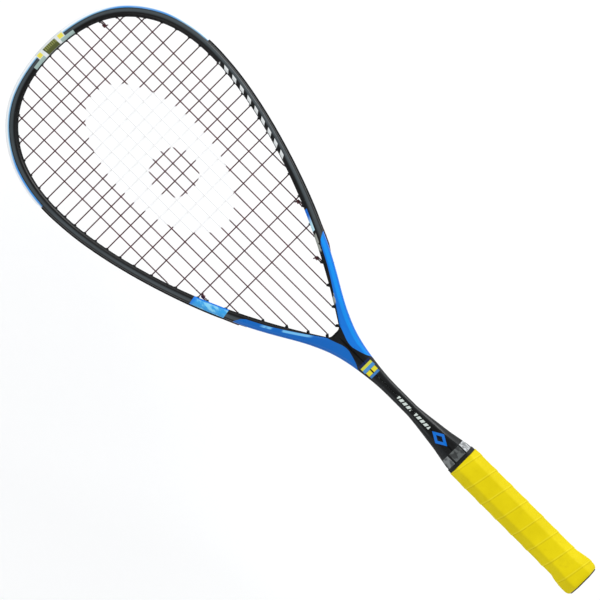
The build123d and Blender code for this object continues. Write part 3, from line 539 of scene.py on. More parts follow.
def loop(start, end, lane, second_start=False, second_end=False):
    """Run outside the tube between two holes, offset to one side of the string plane."""
    first, last = start.run(second_start)[1], end.run(second_end)[1]
    along, stop = OUTER.nearest(first), OUTER.nearest(last)
    length = abs(stop - along)
    near = min(2.1, 0.3 * length) / length
    count = max(1, round(length * (1 - 2 * near) / 8))
    shares = [near + (1 - 2 * near) * k / count for k in range(count + 1)]
    points = [outside_point(along + (stop - along) * share, lane) for share in shares]
    return [first, *points, last], [1.1, 1.2] + [6] * (count - 1) + [1.2, 1.1]


def weave_sign(side, i, j):
    """1 where main i passes in front of cross j, else -1."""
    column = (i + 1) * side + (0 if side > 0 else 1)
    return 1 if (column + j) % 2 == 0 else -1


def woven(crossings, forwards, radius=8):
    """Run through crossings (x, y, sign), raised so the rounded bends just clear them."""
    flat = [np.array(crossing[:2]) for crossing in crossings]
    signs = [crossing[2] for crossing in crossings]
    heights = [WEAVE * sign for sign in signs]
    for _ in range(5):
        raised = list(heights)
        for k in range(1, len(flat) - 1):
            slopes = [math.atan((heights[k] - heights[n]) / np.linalg.norm(flat[n] - flat[k]))
                      for n in (k - 1, k + 1)]
            bend = abs(sum(slopes)) / 2
            raised[k] = signs[k] * (WEAVE + radius * (1 / math.cos(bend) - 1))
        heights = raised
    points = [(*point, z) for point, z in zip(flat, heights)]
    return points if forwards else points[::-1], [2] + [radius] * (len(points) - 2) + [2]


def main_pass(side, i, downwards):
    top, low = (main_holes[side, i, end].run()[0] for end in (1, -1))
    crossings = [(main_x(i, side, y), y, weave_sign(side, i, j))
                 for j, y in enumerate(CROSS_Y) if low[1] + 2 < y < top[1] - 1.5]
    return woven([top, *crossings, low], downwards)


def cross_pass(j, rightwards):
    y = CROSS_Y[j]
    crossings = [(main_x(i, side, y), y, -weave_sign(side, i, j))
                 for side, order in ((-1, range(6, -1, -1)), (1, range(7))) for i in order
                 if MAIN_LOW_Y[i] + 2 < y < main_holes[side, i, 1].tip[1] - 1.5]
    left, right = (cross_holes[side, j].run()[0] for side in (-1, 1))
    return woven([left, *crossings, right], rightwards)


def joined(runs):
    return [[item for run in runs for item in run[part]] for part in (0, 1)]


def rounded_points(points, radii, step=math.radians(13)):
    """Points of straight lines joined by tangent arcs."""
    points = [np.array(point, float) for point in points]
    path = [points[0]]
    for i in range(1, len(points) - 1):
        back, ahead = points[i - 1] - points[i], points[i + 1] - points[i]
        back_length, ahead_length = np.linalg.norm(back), np.linalg.norm(ahead)
        if back_length < 1e-6 or ahead_length < 1e-6:
            continue
        back, ahead = back / back_length, ahead / ahead_length
        turn = math.pi - math.acos(max(-1, min(1, float(back @ ahead))))
        if turn < 2e-4:
            continue
        cut = min(radii[i] * math.tan(turn / 2), 0.48 * min(back_length, ahead_length))
        radius = cut / math.tan(turn / 2)
        centre = points[i] + unit(back + ahead) * (radius / math.cos(turn / 2))
        spoke = (points[i] + back * cut - centre) / radius
        count = max(2, math.ceil(turn / step))
        for k in range(count + 1):
            angle = turn * k / count
            path.append(centre + radius * (spoke * math.cos(angle) - back * math.sin(angle)))
    path.append(points[-1])
    kept = [path[0]]
    for point in path[1:]:
        if np.linalg.norm(point - kept[-1]) > 0.02:
            kept.append(point)
    return np.array(kept)


def add_string(build, path, sides=12):
    """A round string along a path, its frames carried along without twist."""
    steps = np.diff(path, axis=0)
    lengths = np.linalg.norm(steps, axis=1)
    steps = steps / lengths[:, None]
    tangents = np.vstack([steps[:1], steps[:-1] + steps[1:], steps[-1:]])
    tangents /= np.linalg.norm(tangents, axis=1)[:, None]
    normals = np.zeros_like(tangents)
    first = np.cross(tangents[0], [0, 0, 1])
    if np.linalg.norm(first) < 0.1:
        first = np.cross(tangents[0], [0, 1, 0])
    normals[0] = unit(first)
    for k in range(1, len(tangents)):
        normals[k] = unit(normals[k - 1] - tangents[k] * (normals[k - 1] @ tangents[k]))
    sideways = np.cross(tangents, normals)
    angles = np.linspace(0, 2 * math.pi, sides, endpoint=False)[None, :, None]
    rings = path[:, None] + STRING_RADIUS * (normals[:, None] * np.cos(angles)
                                             + sideways[:, None] * np.sin(angles))
    build.grid(rings, along=np.r_[0, np.cumsum(lengths)][:, None])


def add_knot(build, side, i, end):
    """A half hitch on a main near its grommet; returns the run of the tied end to it."""
    points, _ = main_pass(side, i, end == -1)
    tip = np.array(points[-1])
    axis = unit(np.array(points[-2]) - tip)
    across = unit(np.cross(axis, [0, 0, 1]))
    upward = np.cross(axis, across)
    turns, pitch, radius = 2.35, 1.22, 1.26
    share = np.linspace(0, 1, 64)[:, None]
    angle = share * turns * 2 * math.pi + (0.4 if side > 0 else 2.6)
    coil = (tip + axis * 3 + axis * (share * pitch * turns)
            + radius * (across * np.cos(angle) + upward * np.sin(angle)))
    add_string(build, coil)
    leg_end = coil[-1] + unit(coil[-1] - coil[-2]) * 2.2
    add_string(build, np.vstack([coil[-1], coil[-1] * 0.4 + leg_end * 0.6, leg_end]))
    hole = main_holes[side, i, end]
    start = np.array(hole.run(second=True)[0]) + np.r_[hole.direction, 0] * 0.5
    return [start, start + axis * 4.4]


def half_of_mains(build, side):
    runs = []
    for i in range(7):
        end = -1 if i % 2 == 0 else 1
        runs.append(main_pass(side, i, downwards=end == -1))
        if i < 6:
            runs.append(loop(main_holes[side, i, end], main_holes[side, i + 1, end], LANE))
    runs.append(loop(main_holes[side, 6, -1], main_holes[side, 5, -1], LANE, second_end=True))
    runs.append((add_knot(build, side, 5, -1), [1.5, 1]))
    return joined(runs)


def build_mains():
    build = Build()
    left, right = half_of_mains(build, -1), half_of_mains(build, 1)
    over_tip = loop(main_holes[-1, 0, 1], main_holes[1, 0, 1], LANE)
    back_up = [part[::-1] for part in left]
    add_string(build, rounded_points(*joined([back_up, over_tip, right])))
    return build


def build_crosses():
    build = Build()
    runs = [(add_knot(build, 1, 4, 1)[::-1], [1, 1.5])]
    last_end = add_knot(build, 1, 3, -1)
    runs.append(loop(main_holes[1, 4, 1], cross_holes[1, 0], -LANE, second_start=True))
    for j in range(18):
        end = 1 if j % 2 == 1 else -1
        runs.append(cross_pass(j, rightwards=end == 1))
        if j < 17:
            runs.append(loop(cross_holes[end, j], cross_holes[end, j + 1], -LANE))
    runs.append(loop(cross_holes[1, 17], main_holes[1, 3, -1], -LANE, second_end=True))
    runs.append((last_end, [1.5, 1]))
    add_string(build, rounded_points(*joined(runs)))
    return build


# ---- Bumper, strips and grommets
def arc_points(x, y, radius, start, end, count):
    """Points of an arc, with its angles in degrees."""
    return [(x + radius * math.cos(angle), y + radius * math.sin(angle))
            for angle in np.radians(np.linspace(start, end, count))]


def add_ribbon(build, profile_at, start, end, step):
    """Sweeps a closed profile along the outer curve, given the distances to both ends.

    A profile lists half its outline as (distance out, z); the other half mirrors it.
    """
    count = max(3, int(round((end - start) / step)))
    rows, alongs, heights = [], [], []
    for k in range(count + 1):
        along = start + (end - start) * k / count
        point, normal = OUTER.at(along), OUTER.normal(along)
        half = profile_at(along - start, end - along)
        profile = half + [(out, -z) for out, z in half[::-1] if abs(z) > 1e-9]
        rows.append([(*(point + normal * out), z) for out, z in profile])
        alongs.append([along - TIP_ALONG])
        heights.append([out for out, _ in profile])
    build.grid(rows, fs=alongs, rho=heights)


def guard_profile(from_start, from_end):
    low = 1 - smoothstep(0, 9, min(from_start, from_end))
    top = GUARD_PROUD - 0.9 * float(low)
    radius = 2.6
    return ([(0, 0), (0, 1.1), (0, 2.02), (0.1, 2.15),
             (top - 0.35, 2.15), (top - 0.1, 2.25), (top, 2.5), (top, 3.4), (top, 4.6)]
            + arc_points(top - radius, GUARD_HALF - radius, radius, 0, 90, 9)
            + [(-0.45, 8.5), (-0.8, 8.5), (-0.93, 8.46), (-1.06, 8.36), (-1.2, 8.1),
               (-1.3, 7.3), (-0.96, 4.8), (-0.94, 4.1), (-0.94, 0)])


def rail_profile(from_low, from_top):
    ramp = smoothstep(-2, 34, from_low if from_low < from_top else 99)
    rise = 0.3 + (RAIL_PROUD - 0.3) * float(ramp)
    return [(0, 0), (0, 1.1), (0, 2.05), (min(0.08, rise), 2.15), (rise * 0.8, 2.15),
            (rise - 0.06, 2.22), (rise, 2.42), (rise, 3), (rise, 3.75), (rise - 0.06, 4.02),
            (rise - 0.2, 4.17), (rise * 0.6, 4.22), (0, 4.22), (-0.9, 4.22), (-0.94, 4.1),
            (-0.94, 0)]


def add_barrel(build, hole):
    """A grommet barrel: bore, rounded tip inside the hoop, and a root buried in the tube."""
    tip, axis = np.r_[hole.tip, 0], np.r_[hole.direction, 0]
    across, upward = np.array([-axis[1], axis[0], 0]), np.array([0, 0, 1])
    bore, outer = (BIG_BORE, BIG_BARREL) if hole.big else (BORE, BARREL)
    # distance from the tip, radius
    profile = [(3.2, bore * 0.92), (1, bore), (0.62, bore + 0.02), (0.46, bore + 0.12),
               (0.4, (bore + outer) / 2 - 0.02), (0.48, outer - 0.16), (0.72, outer - 0.04),
               (1.2, outer), (1.9, outer + 0.01), (max(3, hole.length - 2.2), outer + 0.02)]
    hand = 1 if hole.tip[0] * axis[1] < 0 else -1
    angles = np.linspace(0, 2 * math.pi, 22, endpoint=False)[:, None]
    rows = []
    for distance, radius in profile:
        slant = 0.3 * (1 - smoothstep(0.8, 2.4, distance)) * radius
        rows.append(tip + axis * (distance + slant * np.cos(angles))
                    + across * radius * np.cos(angles) * hand + upward * radius * np.sin(angles))
    build.grid(rows, fs=0, rho=0)


def build_guard():
    build = Build()
    ends = [outer_along(BUMPER_END_Y + END_GAP, side) for side in (-1, 1)]
    add_ribbon(build, guard_profile, *ends, step=2.4)
    return build


def build_barrels(holes):
    build = Build()
    for hole in holes:
        add_barrel(build, hole)
    return build


def build_strip(side, holes):
    build = Build()
    low, top = outer_along(STRIP_END_Y, side), outer_along(BUMPER_END_Y - END_GAP, side)
    if side < 0:
        add_ribbon(build, rail_profile, low, top, step=2.6)
    else:
        add_ribbon(build, lambda from_top, from_low: rail_profile(from_low, from_top),
                   top, low, step=2.6)
    for hole in holes:
        add_barrel(build, hole)
    return build


def build_throat_grommet(hole):
    """An oval flange in the throat's groove, with its barrel."""
    build = Build()
    point, normal = OUTER.at(hole.along), OUTER.normal(hole.along)
    tangent = np.array([normal[1], -normal[0]])
    half_wide = 2.5
    offset = (3.2 if hole.big else 2.8) - half_wide
    oval = (arc_points(offset, 0, half_wide, -90, 90, 10)
            + arc_points(-offset, 0, half_wide, 90, 270, 10))
    bore = BIG_BORE if hole.big else BORE
    angles = [math.atan2(z, x) for x, z in oval]
    mouth, throat = ([(radius * math.cos(angle), radius * math.sin(angle)) for angle in angles]
                     for radius in (bore + 0.45, bore))
    rows = []
    # height over the tube's surface, outline, scale
    for height, outline, scale in (
            (-1.88, oval, 1), (-1.25, oval, 1), (-1.14, oval, 0.975), (-1.1, oval, 0.92),
            (-1.1, mouth, 1), (-1.3, throat, 1.02), (-1.75, throat, 1)):
        rows.append([(*(point + normal * height + tangent * x * scale), z * scale)
                     for x, z in outline])
    build.grid(rows, fs=0, rho=0)
    add_barrel(build, hole)
    return build


# ---- Handle
# y, half width of the bare handle
HANDLE = np.array([(2.6, 16.9), (5.5, 17.1), (9, 17.2), (12.5, 17.1), (16, 16.5), (20, 15.8),
                   (26, 14.85), (40, 14.85), (160, 14.85)]).T
PITCH = 19.6


def level(y, outline):
    """Points of an (x, z) outline at height y."""
    return np.c_[outline[:, 0], np.full(len(outline), y), outline[:, 1]]


def octagon(half, radius, flat_steps=6, arc_steps=5):
    """Rounded octagon: (x, z) points, outward normals and shares round it."""
    depth = half - DEPTH_LESS
    cut_x, cut_z = half * 0.52, depth * 0.42
    corners = np.array([(half, -cut_z), (half, cut_z), (cut_x, depth), (-cut_x, depth),
                        (-half, cut_z), (-half, -cut_z), (-cut_x, -depth), (cut_x, -depth)])
    bends = []
    for k in range(8):
        back = unit(corners[k - 1] - corners[k])
        ahead = unit(corners[(k + 1) % 8] - corners[k])
        turn = math.pi - math.acos(float(back @ ahead))
        bends.append((back, ahead, turn, radius * math.tan(turn / 2)))
    points, normals = [], []
    for k, (back, ahead, turn, cut) in enumerate(bends):
        corner, after = corners[k], (k + 1) % 8
        centre = corner + unit(back + ahead) * (radius / math.cos(turn / 2))
        spoke = (corner + back * cut - centre) / radius
        for step in range(arc_steps + 1):
            angle = turn * step / arc_steps
            normals.append(spoke * math.cos(angle) - back * math.sin(angle))
            points.append(centre + radius * normals[-1])
        start, stop = corner + ahead * cut, corners[after] + bends[after][0] * bends[after][3]
        for step in range(1, flat_steps):
            points.append(start + (stop - start) * step / flat_steps)
            normals.append(normals[-1])
    points = np.array(points)
    sides = np.linalg.norm(np.diff(np.vstack([points, points[:1]]), axis=0), axis=1)
    lengths = np.r_[0, np.cumsum(sides)]
    return points, np.array(normals), lengths[:-1] / lengths[-1]


def wrap_lift(y, share):
    """Lift of the wound strip, whose lower edge lies on the turn below, and height over it."""
    above = (y - 6 - PITCH * share) % PITCH
    step = smoothstep(0, 0.55, above) * (1 - smoothstep(1.2, 6.5, above))
    seam = sum(np.exp(-((above - edge - 0.05) / 0.45) ** 2) for edge in (0, PITCH))
    return 0.34 * step - 0.16 * seam, above


def build_grip():
    low, top = 1.15, HANDLE_TOP - 0.12
    end_rows = 4
    low_round, low_inset, top_round = 4.4, 2.7, 0.8
    rounding = low + low_round * (1 - np.cos(np.linspace(0, math.pi / 2, 14)[:-1]))
    heights = [*[low] * end_rows, *rounding, *np.linspace(low + low_round, top, 345),
               *[top] * end_rows]
    rows, seams = [], []
    for k, y in enumerate(heights):
        from_low, from_top = y - low, top - y
        past_top = k - (len(heights) - end_rows) + 1
        inset = 0
        if k < end_rows:
            inset = low_inset + (end_rows - k) * 0.3
        elif past_top > 0:
            inset = top_round + past_top * 0.25
        elif from_low < low_round:
            share = (low_round - from_low) / low_round
            inset = low_inset * (1 - math.sqrt(max(0, 1 - share ** 2)))
        elif from_top < top_round:
            inset = top_round - math.sqrt(max(0, top_round ** 2 - (top_round - from_top) ** 2))
        half = monotone(*HANDLE, y) + GRIP_THICK + 0.05
        points, normals, share = octagon(half, 3.4)
        lift, above = wrap_lift(y, share)
        fade = float(smoothstep(low + 1, low + 5, y) * (1 - smoothstep(top - 3, top, y)))
        soft = 0.05 * np.sin(2 * math.pi * (share * 3 + y / 31)) * np.sin(y / 7.3 + share * 9)
        move = (lift + soft) * fade - inset
        rows.append(level(y, points + normals * move[:, None]))
        seams.append(above)
    build = Build()
    build.grid(rows, seam=seams)
    return build


def build_cap():
    """Butt cap: an end face with a round recess, a rim, and a sleeve up under the grip."""
    radius = 3.6
    rim, _, _ = octagon(17.4, radius)
    turn = np.arctan2(rim[:, 1], rim[:, 0])
    circle = np.c_[np.cos(turn), np.sin(turn)]
    recess = [(0.96, 0.3), (0.96, 4), (0.96, 8.98), (0.93, 9.05), (0.1, 9.05), (0.03, 9.12),
              (0, 9.25)]  # y, radius
    sleeve = [(0, 12), (0, 14.2), (0.04, 14.7), (0.16, 15.1), (0.36, 15.4), (0.62, 15.58),
              (0.9, 15.62), (1.08, 15.55), (1.25, 15.2), (2.62, 15.2), (4, 15.6), (12, 16.4),
              (18, 15.6), (25.5, 14.4)]  # y, half width
    build = Build()
    build.grid([level(y, size * circle) for y, size in recess]
               + [level(y, octagon(half, radius)[0]) for y, half in sleeve])
    return build


def build_disc():
    """Disc in the cap's recess, with a ring-shaped groove."""
    turn = np.linspace(0, 2 * math.pi, 72, endpoint=False)
    circle = np.c_[np.cos(turn), np.sin(turn)]
    profile = [(0.94, 0.4), (0.94, 8.9), (0.9, 8.98), (0.22, 8.98), (0.14, 8.9), (0.12, 8.7),
               (0.12, 7.4), (0.3, 7.2), (0.3, 6.7), (0.12, 6.5), (0.12, 3), (0.22, 2.8),
               (0.22, 0.4)]  # y, radius
    build = Build()
    build.grid([level(y, radius * circle) for y, radius in profile])
    return build


def faceted_ring(half_x, half_z, radius, flat_steps=6, arc_steps=8):
    """Outline with the shaft's flattened corners."""
    points = []
    for sign_x, sign_z, start in ((1, 1, 0), (-1, 1, 90), (-1, -1, 180), (1, -1, 270)):
        arc = np.array(arc_points(sign_x * (half_x - radius), sign_z * (half_z - radius),
                                  radius, start, start + 90, arc_steps + 1))
        share = np.linspace(0, 1, len(arc))[:, None]
        chamfer = arc[0] * (1 - share) + arc[-1] * share
        points += list(arc * (1 - SHAFT_FACET) + chamfer * SHAFT_FACET)
    outline = []
    for point, after in zip(points, points[1:] + points[:1]):
        outline.append(point)
        if np.linalg.norm(after - point) > 3:
            outline += [point + (after - point) * k / flat_steps for k in range(1, flat_steps)]
    return np.array(outline)


def build_collar():
    """Ring round the shaft just above the grip."""
    _, half_width, half_depth, radius = SHAFT[0]
    profile = [(0.1, 0.05), (0.06, 0.5), (0.12, 0.78), (0.35, 0.9), (1, 0.93), (2, 0.93),
               (2.85, 0.88), (3.1, 0.74), (3.2, 0.5), (3.15, 0.05)]  # above handle, proud
    build = Build()
    build.grid([level(HANDLE_TOP + above, faceted_ring(half_width + proud, half_depth + proud,
                                                       radius + 0.5 * proud))
                for above, proud in profile], closed_rows=True, caps=False)
    return build


# ---- Materials
def linear(rgb):
    """Linear colour from 0-255 sRGB."""
    parts = [c / 255 for c in rgb]
    return (*[c / 12.92 if c <= 0.04045 else ((c + 0.055) / 1.055) ** 2.4 for c in parts], 1)


class NodeMaterial:
    """A node material; three-part colours are 0-255 sRGB."""

    def __init__(self, name):
        self.material = bpy.data.materials.new(name)
        self.material.use_nodes = True
        self.tree = self.material.node_tree
        self.tree.nodes.clear()
        self.output = self.node("OutputMaterial")
        self.shader = self.node("BsdfPrincipled")
        self.put(self.shader.outputs[0], self.output.inputs[0])
        self.place = self.node("TexCoord").outputs["Object"]

    def node(self, kind, **settings):
        node = self.tree.nodes.new("ShaderNode" + kind)
        for key, value in settings.items():
            setattr(node, key, value)
        return node

    def put(self, value, socket):
        if isinstance(value, bpy.types.NodeSocket):
            self.tree.links.new(value, socket)
        elif socket.type == "RGBA" and len(value) == 3:
            socket.default_value = linear(value)
        else:
            socket.default_value = value

    def axes(self):
        """x, y and z in millimetres."""
        split = self.node("SeparateXYZ")
        self.put(self.place, split.inputs[0])
        return [self.math("MULTIPLY", part, 1000) for part in split.outputs]

    def math(self, operation, *values, clamp=False):
        node = self.node("Math", operation=operation, use_clamp=clamp)
        for value, socket in zip(values, node.inputs):
            self.put(value, socket)
        return node.outputs[0]

    def attribute(self, name):
        return self.node("Attribute", attribute_name=name).outputs["Fac"]

    def step(self, value, low, high, out=(0, 1)):
        """Smooth step from low to high; it falls when low is the greater."""
        node = self.node("MapRange", interpolation_type="SMOOTHSTEP")
        for key, number in (("Value", value), ("From Min", low), ("From Max", high),
                            ("To Min", out[0]), ("To Max", out[1])):
            self.put(number, node.inputs[key])
        return node.outputs[0]

    def mul(self, product, *values):
        for value in values:
            product = self.math("MULTIPLY", product, value)
        return product

    def flip(self, mask):
        return self.math("SUBTRACT", 1, mask)

    def inside(self, distance, soft=0.1):
        """1 where a distance is positive."""
        return self.math("MULTIPLY_ADD", distance, 0.5 / soft, 0.5, clamp=True)

    def between(self, value, low, high, soft=0.1):
        away = self.math("ABSOLUTE", self.math("SUBTRACT", value, (low + high) / 2))
        return self.inside(self.math("SUBTRACT", (high - low) / 2, away), soft)

    def box(self, u, v, u_low, u_high, v_low, v_high, slant=0, soft=0.1):
        """A block in two coordinates; slant shifts u by slant * v."""
        if slant:
            u = self.math("MULTIPLY_ADD", v, -slant, u)
        return self.mul(self.between(u, u_low, u_high, soft), self.between(v, v_low, v_high, soft))

    def mix(self, share, under, over, kind="RGBA"):
        node = self.node("Mix", data_type=kind)
        first = 6 if kind == "RGBA" else 2  # each data type has its own pair of inputs
        for value, k in ((share, 0), (under, first), (over, first + 1)):
            self.put(value, node.inputs[k])
        return node.outputs[2 if kind == "RGBA" else 0]

    def blend(self, share, under, over):
        return self.mix(share, under, over, kind="FLOAT")

    def paint(self, under, *masks, over, amount=None):
        """Lays a colour over another through the product of the masks."""
        if amount is not None:
            masks += (amount,)
        return self.mix(self.mul(*masks), under, over)

    def noise(self, scale, detail=3, rough=0.5, stretch=(1, 1, 1)):
        mapping, node = self.node("Mapping"), self.node("TexNoise")
        mapping.inputs["Scale"].default_value = stretch
        self.put(self.place, mapping.inputs[0])
        self.put(mapping.outputs[0], node.inputs["Vector"])
        for key, value in (("Scale", scale), ("Detail", detail), ("Roughness", rough)):
            self.put(value, node.inputs[key])
        return node.outputs[0]

    def bumps(self, *layers):
        """Normal from layers of (height, strength, distance in metres)."""
        normal = None
        for height, strength, distance in layers:
            node = self.node("Bump")
            for key, value in (("Strength", strength), ("Distance", distance),
                               ("Height", height)):
                self.put(value, node.inputs[key])
            if normal is not None:
                self.put(normal, node.inputs["Normal"])
            normal = node.outputs[0]
        return normal

    def finish(self, colour, rough, normal=None, spec=0.5, coat=0, coat_rough=0.1, metallic=0):
        for key, value in (("Base Color", colour), ("Roughness", rough), ("Metallic", metallic),
                           ("Specular IOR Level", spec), ("Coat Weight", coat),
                           ("Coat Roughness", coat_rough), ("Normal", normal)):
            if value is not None:
                self.put(value, self.shader.inputs[key])
        return self.material


YELLOW, GREEN_GREY = (236, 224, 92), (158, 182, 176)
# Tip blocks: along low and high, depth low and high, slant, soft edge, colour
TIP_BLOCKS = [(-14, 18.3, -7.55, 3, 0, 0.15, (226, 232, 232)),
              (-13.2, -8.7, -3.7, 0.5, 0, 0.1, YELLOW),
              (12.3, 17.5, -3.7, 0.5, 0, 0.1, YELLOW),
              (-23.1, -8.6, -7.45, -4.1, 0, 0.1, GREEN_GREY),
              (12.6, 27.4, -7.45, -4.1, 0, 0.1, GREEN_GREY),
              (-5.6, 9.1, -7.45, 0.3, -0.12, 0.1, (84, 91, 44))]


def tip_blocks(mat, colour, along, depth):
    """The colour blocks at the tip, shared by the tube and the bumper."""
    for *limits, slant, soft, rgb in TIP_BLOCKS:
        colour = mat.paint(colour, mat.box(along, depth, *limits, slant, soft), over=rgb)
    stripe = mat.math("MODULO", mat.math("ADD", along, 100), 2)
    return mat.paint(colour, mat.between(stripe, low=0.2, high=0.9, soft=0.08),
                     mat.box(along, depth, -4.9, 8.6, -3.4, 0.2, slant=-0.12),
                     over=(205, 208, 120), amount=0.55)


def arm_colour(mat, right, depth, blue, y):
    """Blue of the arms: darker on the left, with a lighter line along the right one that is partly
    paint and partly a painted highlight.
    """
    colour = mat.mix(right, (0, 100, 188), (0, 117, 218))
    # lighter line on the right arm: partly paint, partly a painted highlight
    colour = mat.paint(colour, right, mat.step(depth, low=-5.6, high=-4.6),
                       mat.step(depth, low=-1.4, high=-2.6), over=(0, 152, 246), amount=0.75)
    streak = mat.noise(scale=60, stretch=(1, 0.12, 1))
    colour = mat.paint(colour, mat.step(streak, low=0.45, high=0.75),
                       over=(0, 74, 160), amount=0.18)
    dashes = mat.noise(scale=170, detail=2, stretch=(0.35, 0.55, 0.2))
    return mat.paint(colour, mat.flip(right), mat.step(dashes, low=0.4, high=0.5),
                     mat.between(blue, low=0.3, high=2.5, soft=0.3),
                     mat.between(y, low=330, high=368, soft=2), over=(120, 196, 240), amount=0.85)


def head_marks(mat, colour, right, share, along, x, y, z):
    """Light patch on the left, then strip, chips and slanted bars on the right."""
    fleck = mat.step(mat.noise(scale=210, rough=0.6, stretch=(1, 0.5, 0.4)), low=0.44, high=0.62)
    patch = mat.mix(fleck, (48, 158, 226), (132, 208, 242))
    patch = mat.paint(patch, mat.step(share, low=0.2, high=0.08), over=(0, 116, 220))
    patch = mat.paint(patch, mat.step(y, low=424.5, high=429), over=(0, 122, 226))
    slanted = mat.math("MULTIPLY_ADD", share, 1.5, y)
    colour = mat.paint(colour, mat.between(slanted, low=399.2, high=430, soft=0.15),
                       mat.inside(mat.math("MULTIPLY", x, -1)), over=patch)
    strip = mat.mix(mat.step(y, low=410, high=400), (0, 112, 224), (196, 238, 252))
    colour = mat.paint(colour, mat.between(y, low=395.5, high=414.5, soft=0.2), right,
                       mat.step(share, low=0.27, high=0.23), over=strip)
    chips = mat.noise(scale=240, detail=1, rough=0.4, stretch=(1, 0.7, 0.1))
    zones = mat.math("MAXIMUM", mat.between(y, low=378, high=395, soft=1),
                     mat.between(y, low=336, high=346.5, soft=1))
    colour = mat.paint(colour, zones, right, mat.step(share, low=0.25, high=0.21),
                       mat.step(chips, low=0.5, high=0.56), over=(176, 180, 172), amount=0.85)
    slant, pitch = 8.5, 11.6
    run = mat.math("ADD", mat.math("MULTIPLY_ADD", share, slant, along), 40)
    return mat.paint(colour, mat.between(mat.math("MODULO", run, pitch), 1.2, 6.9, soft=0.12),
                     mat.between(share, low=0.05, high=0.42, soft=0.015),
                     mat.between(y, low=459, high=563, soft=0.3), right,
                     mat.step(mat.math("ABSOLUTE", z), low=6.6, high=7.4), over=(232, 236, 236))


def shaft_marks(mat, colour, x, y, z):
    """Stripes, squares, dashes, a lozenge and grey bars down both faces of the shaft."""
    on_face = mat.step(mat.math("ABSOLUTE", z), low=6.8, high=7.6)
    across = mat.math("ADD", x, 0.4)
    off_middle = mat.math("ABSOLUTE", across)
    # coordinate, its low and high, y low and high, colour
    for where, *limits, rgb in ((across, -6.3, 6.3, 277.6, 280.2, (16, 34, 78)),
                                (across, -6.2, 6.2, 274.9, 277.6, (206, 206, 60)),
                                (across, -6.3, 6.3, 271.6, 274.9, (70, 140, 200)),
                                (off_middle, 0.7, 5.4, 267.2, 271.4, (226, 214, 40)),
                                (across, -5.2, 5.2, 264.6, 267, (58, 122, 186))):
        colour = mat.paint(colour, mat.box(where, y, *limits), on_face, 1, over=rgb)
    lean, pitch = 0.55, 4.4
    leaning = mat.math("MULTIPLY_ADD", across, lean, y)
    run = mat.math("MODULO", mat.math("SUBTRACT", leaning, 190), pitch)
    dashes = mat.mul(mat.between(run, low=0.5, high=3.5),
                     mat.box(off_middle, y, -1, 1.55, 196.2, 236.2),
                     mat.flip(mat.between(y, low=214.5, high=219.5, soft=0.2)))
    colour = mat.paint(colour, dashes, on_face, 1, over=(206, 216, 210))
    half_width, half_height, middle = 5.6, 9.6, 183.2
    off_height = mat.math("ABSOLUTE", mat.math("SUBTRACT", y, middle))
    lozenge = mat.flip(mat.math("ADD", mat.math("MULTIPLY", off_middle, 1 / half_width),
                                mat.math("MULTIPLY", off_height, 1 / half_height)))
    colour = mat.paint(colour, mat.inside(lozenge, soft=0.02), on_face, 1, over=(4, 108, 206))
    core = mat.inside(mat.math("SUBTRACT", lozenge, 0.52), soft=0.02)
    colour = mat.paint(colour, core, on_face, 1, over=(14, 20, 30))
    worn = mat.noise(scale=330, detail=2, stretch=(1, 0.6, 1))
    worn = mat.step(worn, low=0.42, high=0.58)
    for low, high, rgb in ((-13.3, -6.6, (132, 136, 136)), (-4.7, 6.9, (96, 100, 100)),
                           (8.2, 13.6, (206, 210, 212))):  # x low and high, colour
        face = mat.inside(mat.math("SUBTRACT", mat.math("ABSOLUTE", z), 6.9))
        bar = mat.mul(mat.box(x, y, low, high, 157.6, 167.2), face)
        colour = mat.paint(colour, bar, mat.blend(worn, 0.35, 0.95), over=rgb)
    return colour


def frame_material():
    mat = NodeMaterial("frame_lacquer_painted")
    x, y, z = mat.axes()
    share, along, depth, blue = (mat.attribute(key) for key in ("fu", "fs", "rho", "blue"))
    fine = mat.noise(scale=900, detail=4, rough=0.6)
    cloud = mat.noise(scale=38, detail=4, rough=0.55)
    # black, with a painted highlight: a lighter grey sheen band along the middle of the face,
    # stronger on the hoop; then clouds and pale flakes
    hoop = mat.blend(mat.step(y, low=330, high=400), 0.15, 1)
    grey = mat.mul(mat.step(share, low=0.34, high=0.58), mat.step(share, low=0.9, high=0.72), hoop)
    colour = mat.mix(grey, (10, 11, 12), (68, 76, 80))
    colour = mat.paint(colour, mat.step(cloud, low=0.35, high=0.75),
                       over=(30, 34, 36), amount=0.22)
    colour = mat.paint(colour, mat.step(fine, low=0.62, high=0.74),
                       over=(120, 126, 126), amount=0.22)
    right = mat.inside(x, soft=0.5)
    on_arm = mat.inside(blue, soft=0.12)
    colour = mat.paint(colour, on_arm, over=arm_colour(mat, right, depth, blue, y))
    colour = head_marks(mat, colour, right, share, along, x, y, z)
    colour = tip_blocks(mat, colour, along, depth)
    colour = shaft_marks(mat, colour, x, y, z)
    rough = mat.blend(on_arm, mat.step(cloud, low=0.3, high=0.8, out=(0.34, 0.42)),
                      mat.step(cloud, low=0.3, high=0.8, out=(0.26, 0.33)))
    scratch = mat.noise(scale=420, rough=0.6, stretch=(1, 0.08, 1))
    rough = mat.math("ADD", rough, mat.step(scratch, low=0.6, high=0.75, out=(0, 0.1)))
    edge = mat.inside(mat.math("SUBTRACT", 0.12, mat.math("ABSOLUTE", blue)), soft=0.12)
    normal = mat.bumps((edge, 0.25, 0.00006), (fine, 0.05, 0.0001),
                       (mat.noise(scale=110), 0.04, 0.0004))
    gloss = mat.step(share, low=0.02, high=0.1)  # the inner wall is dull
    return mat.finish(colour, mat.blend(gloss, 0.75, rough), normal, coat_rough=0.14,
                      spec=mat.blend(gloss, 0.04, 0.32), coat=mat.mul(gloss, 0.1))


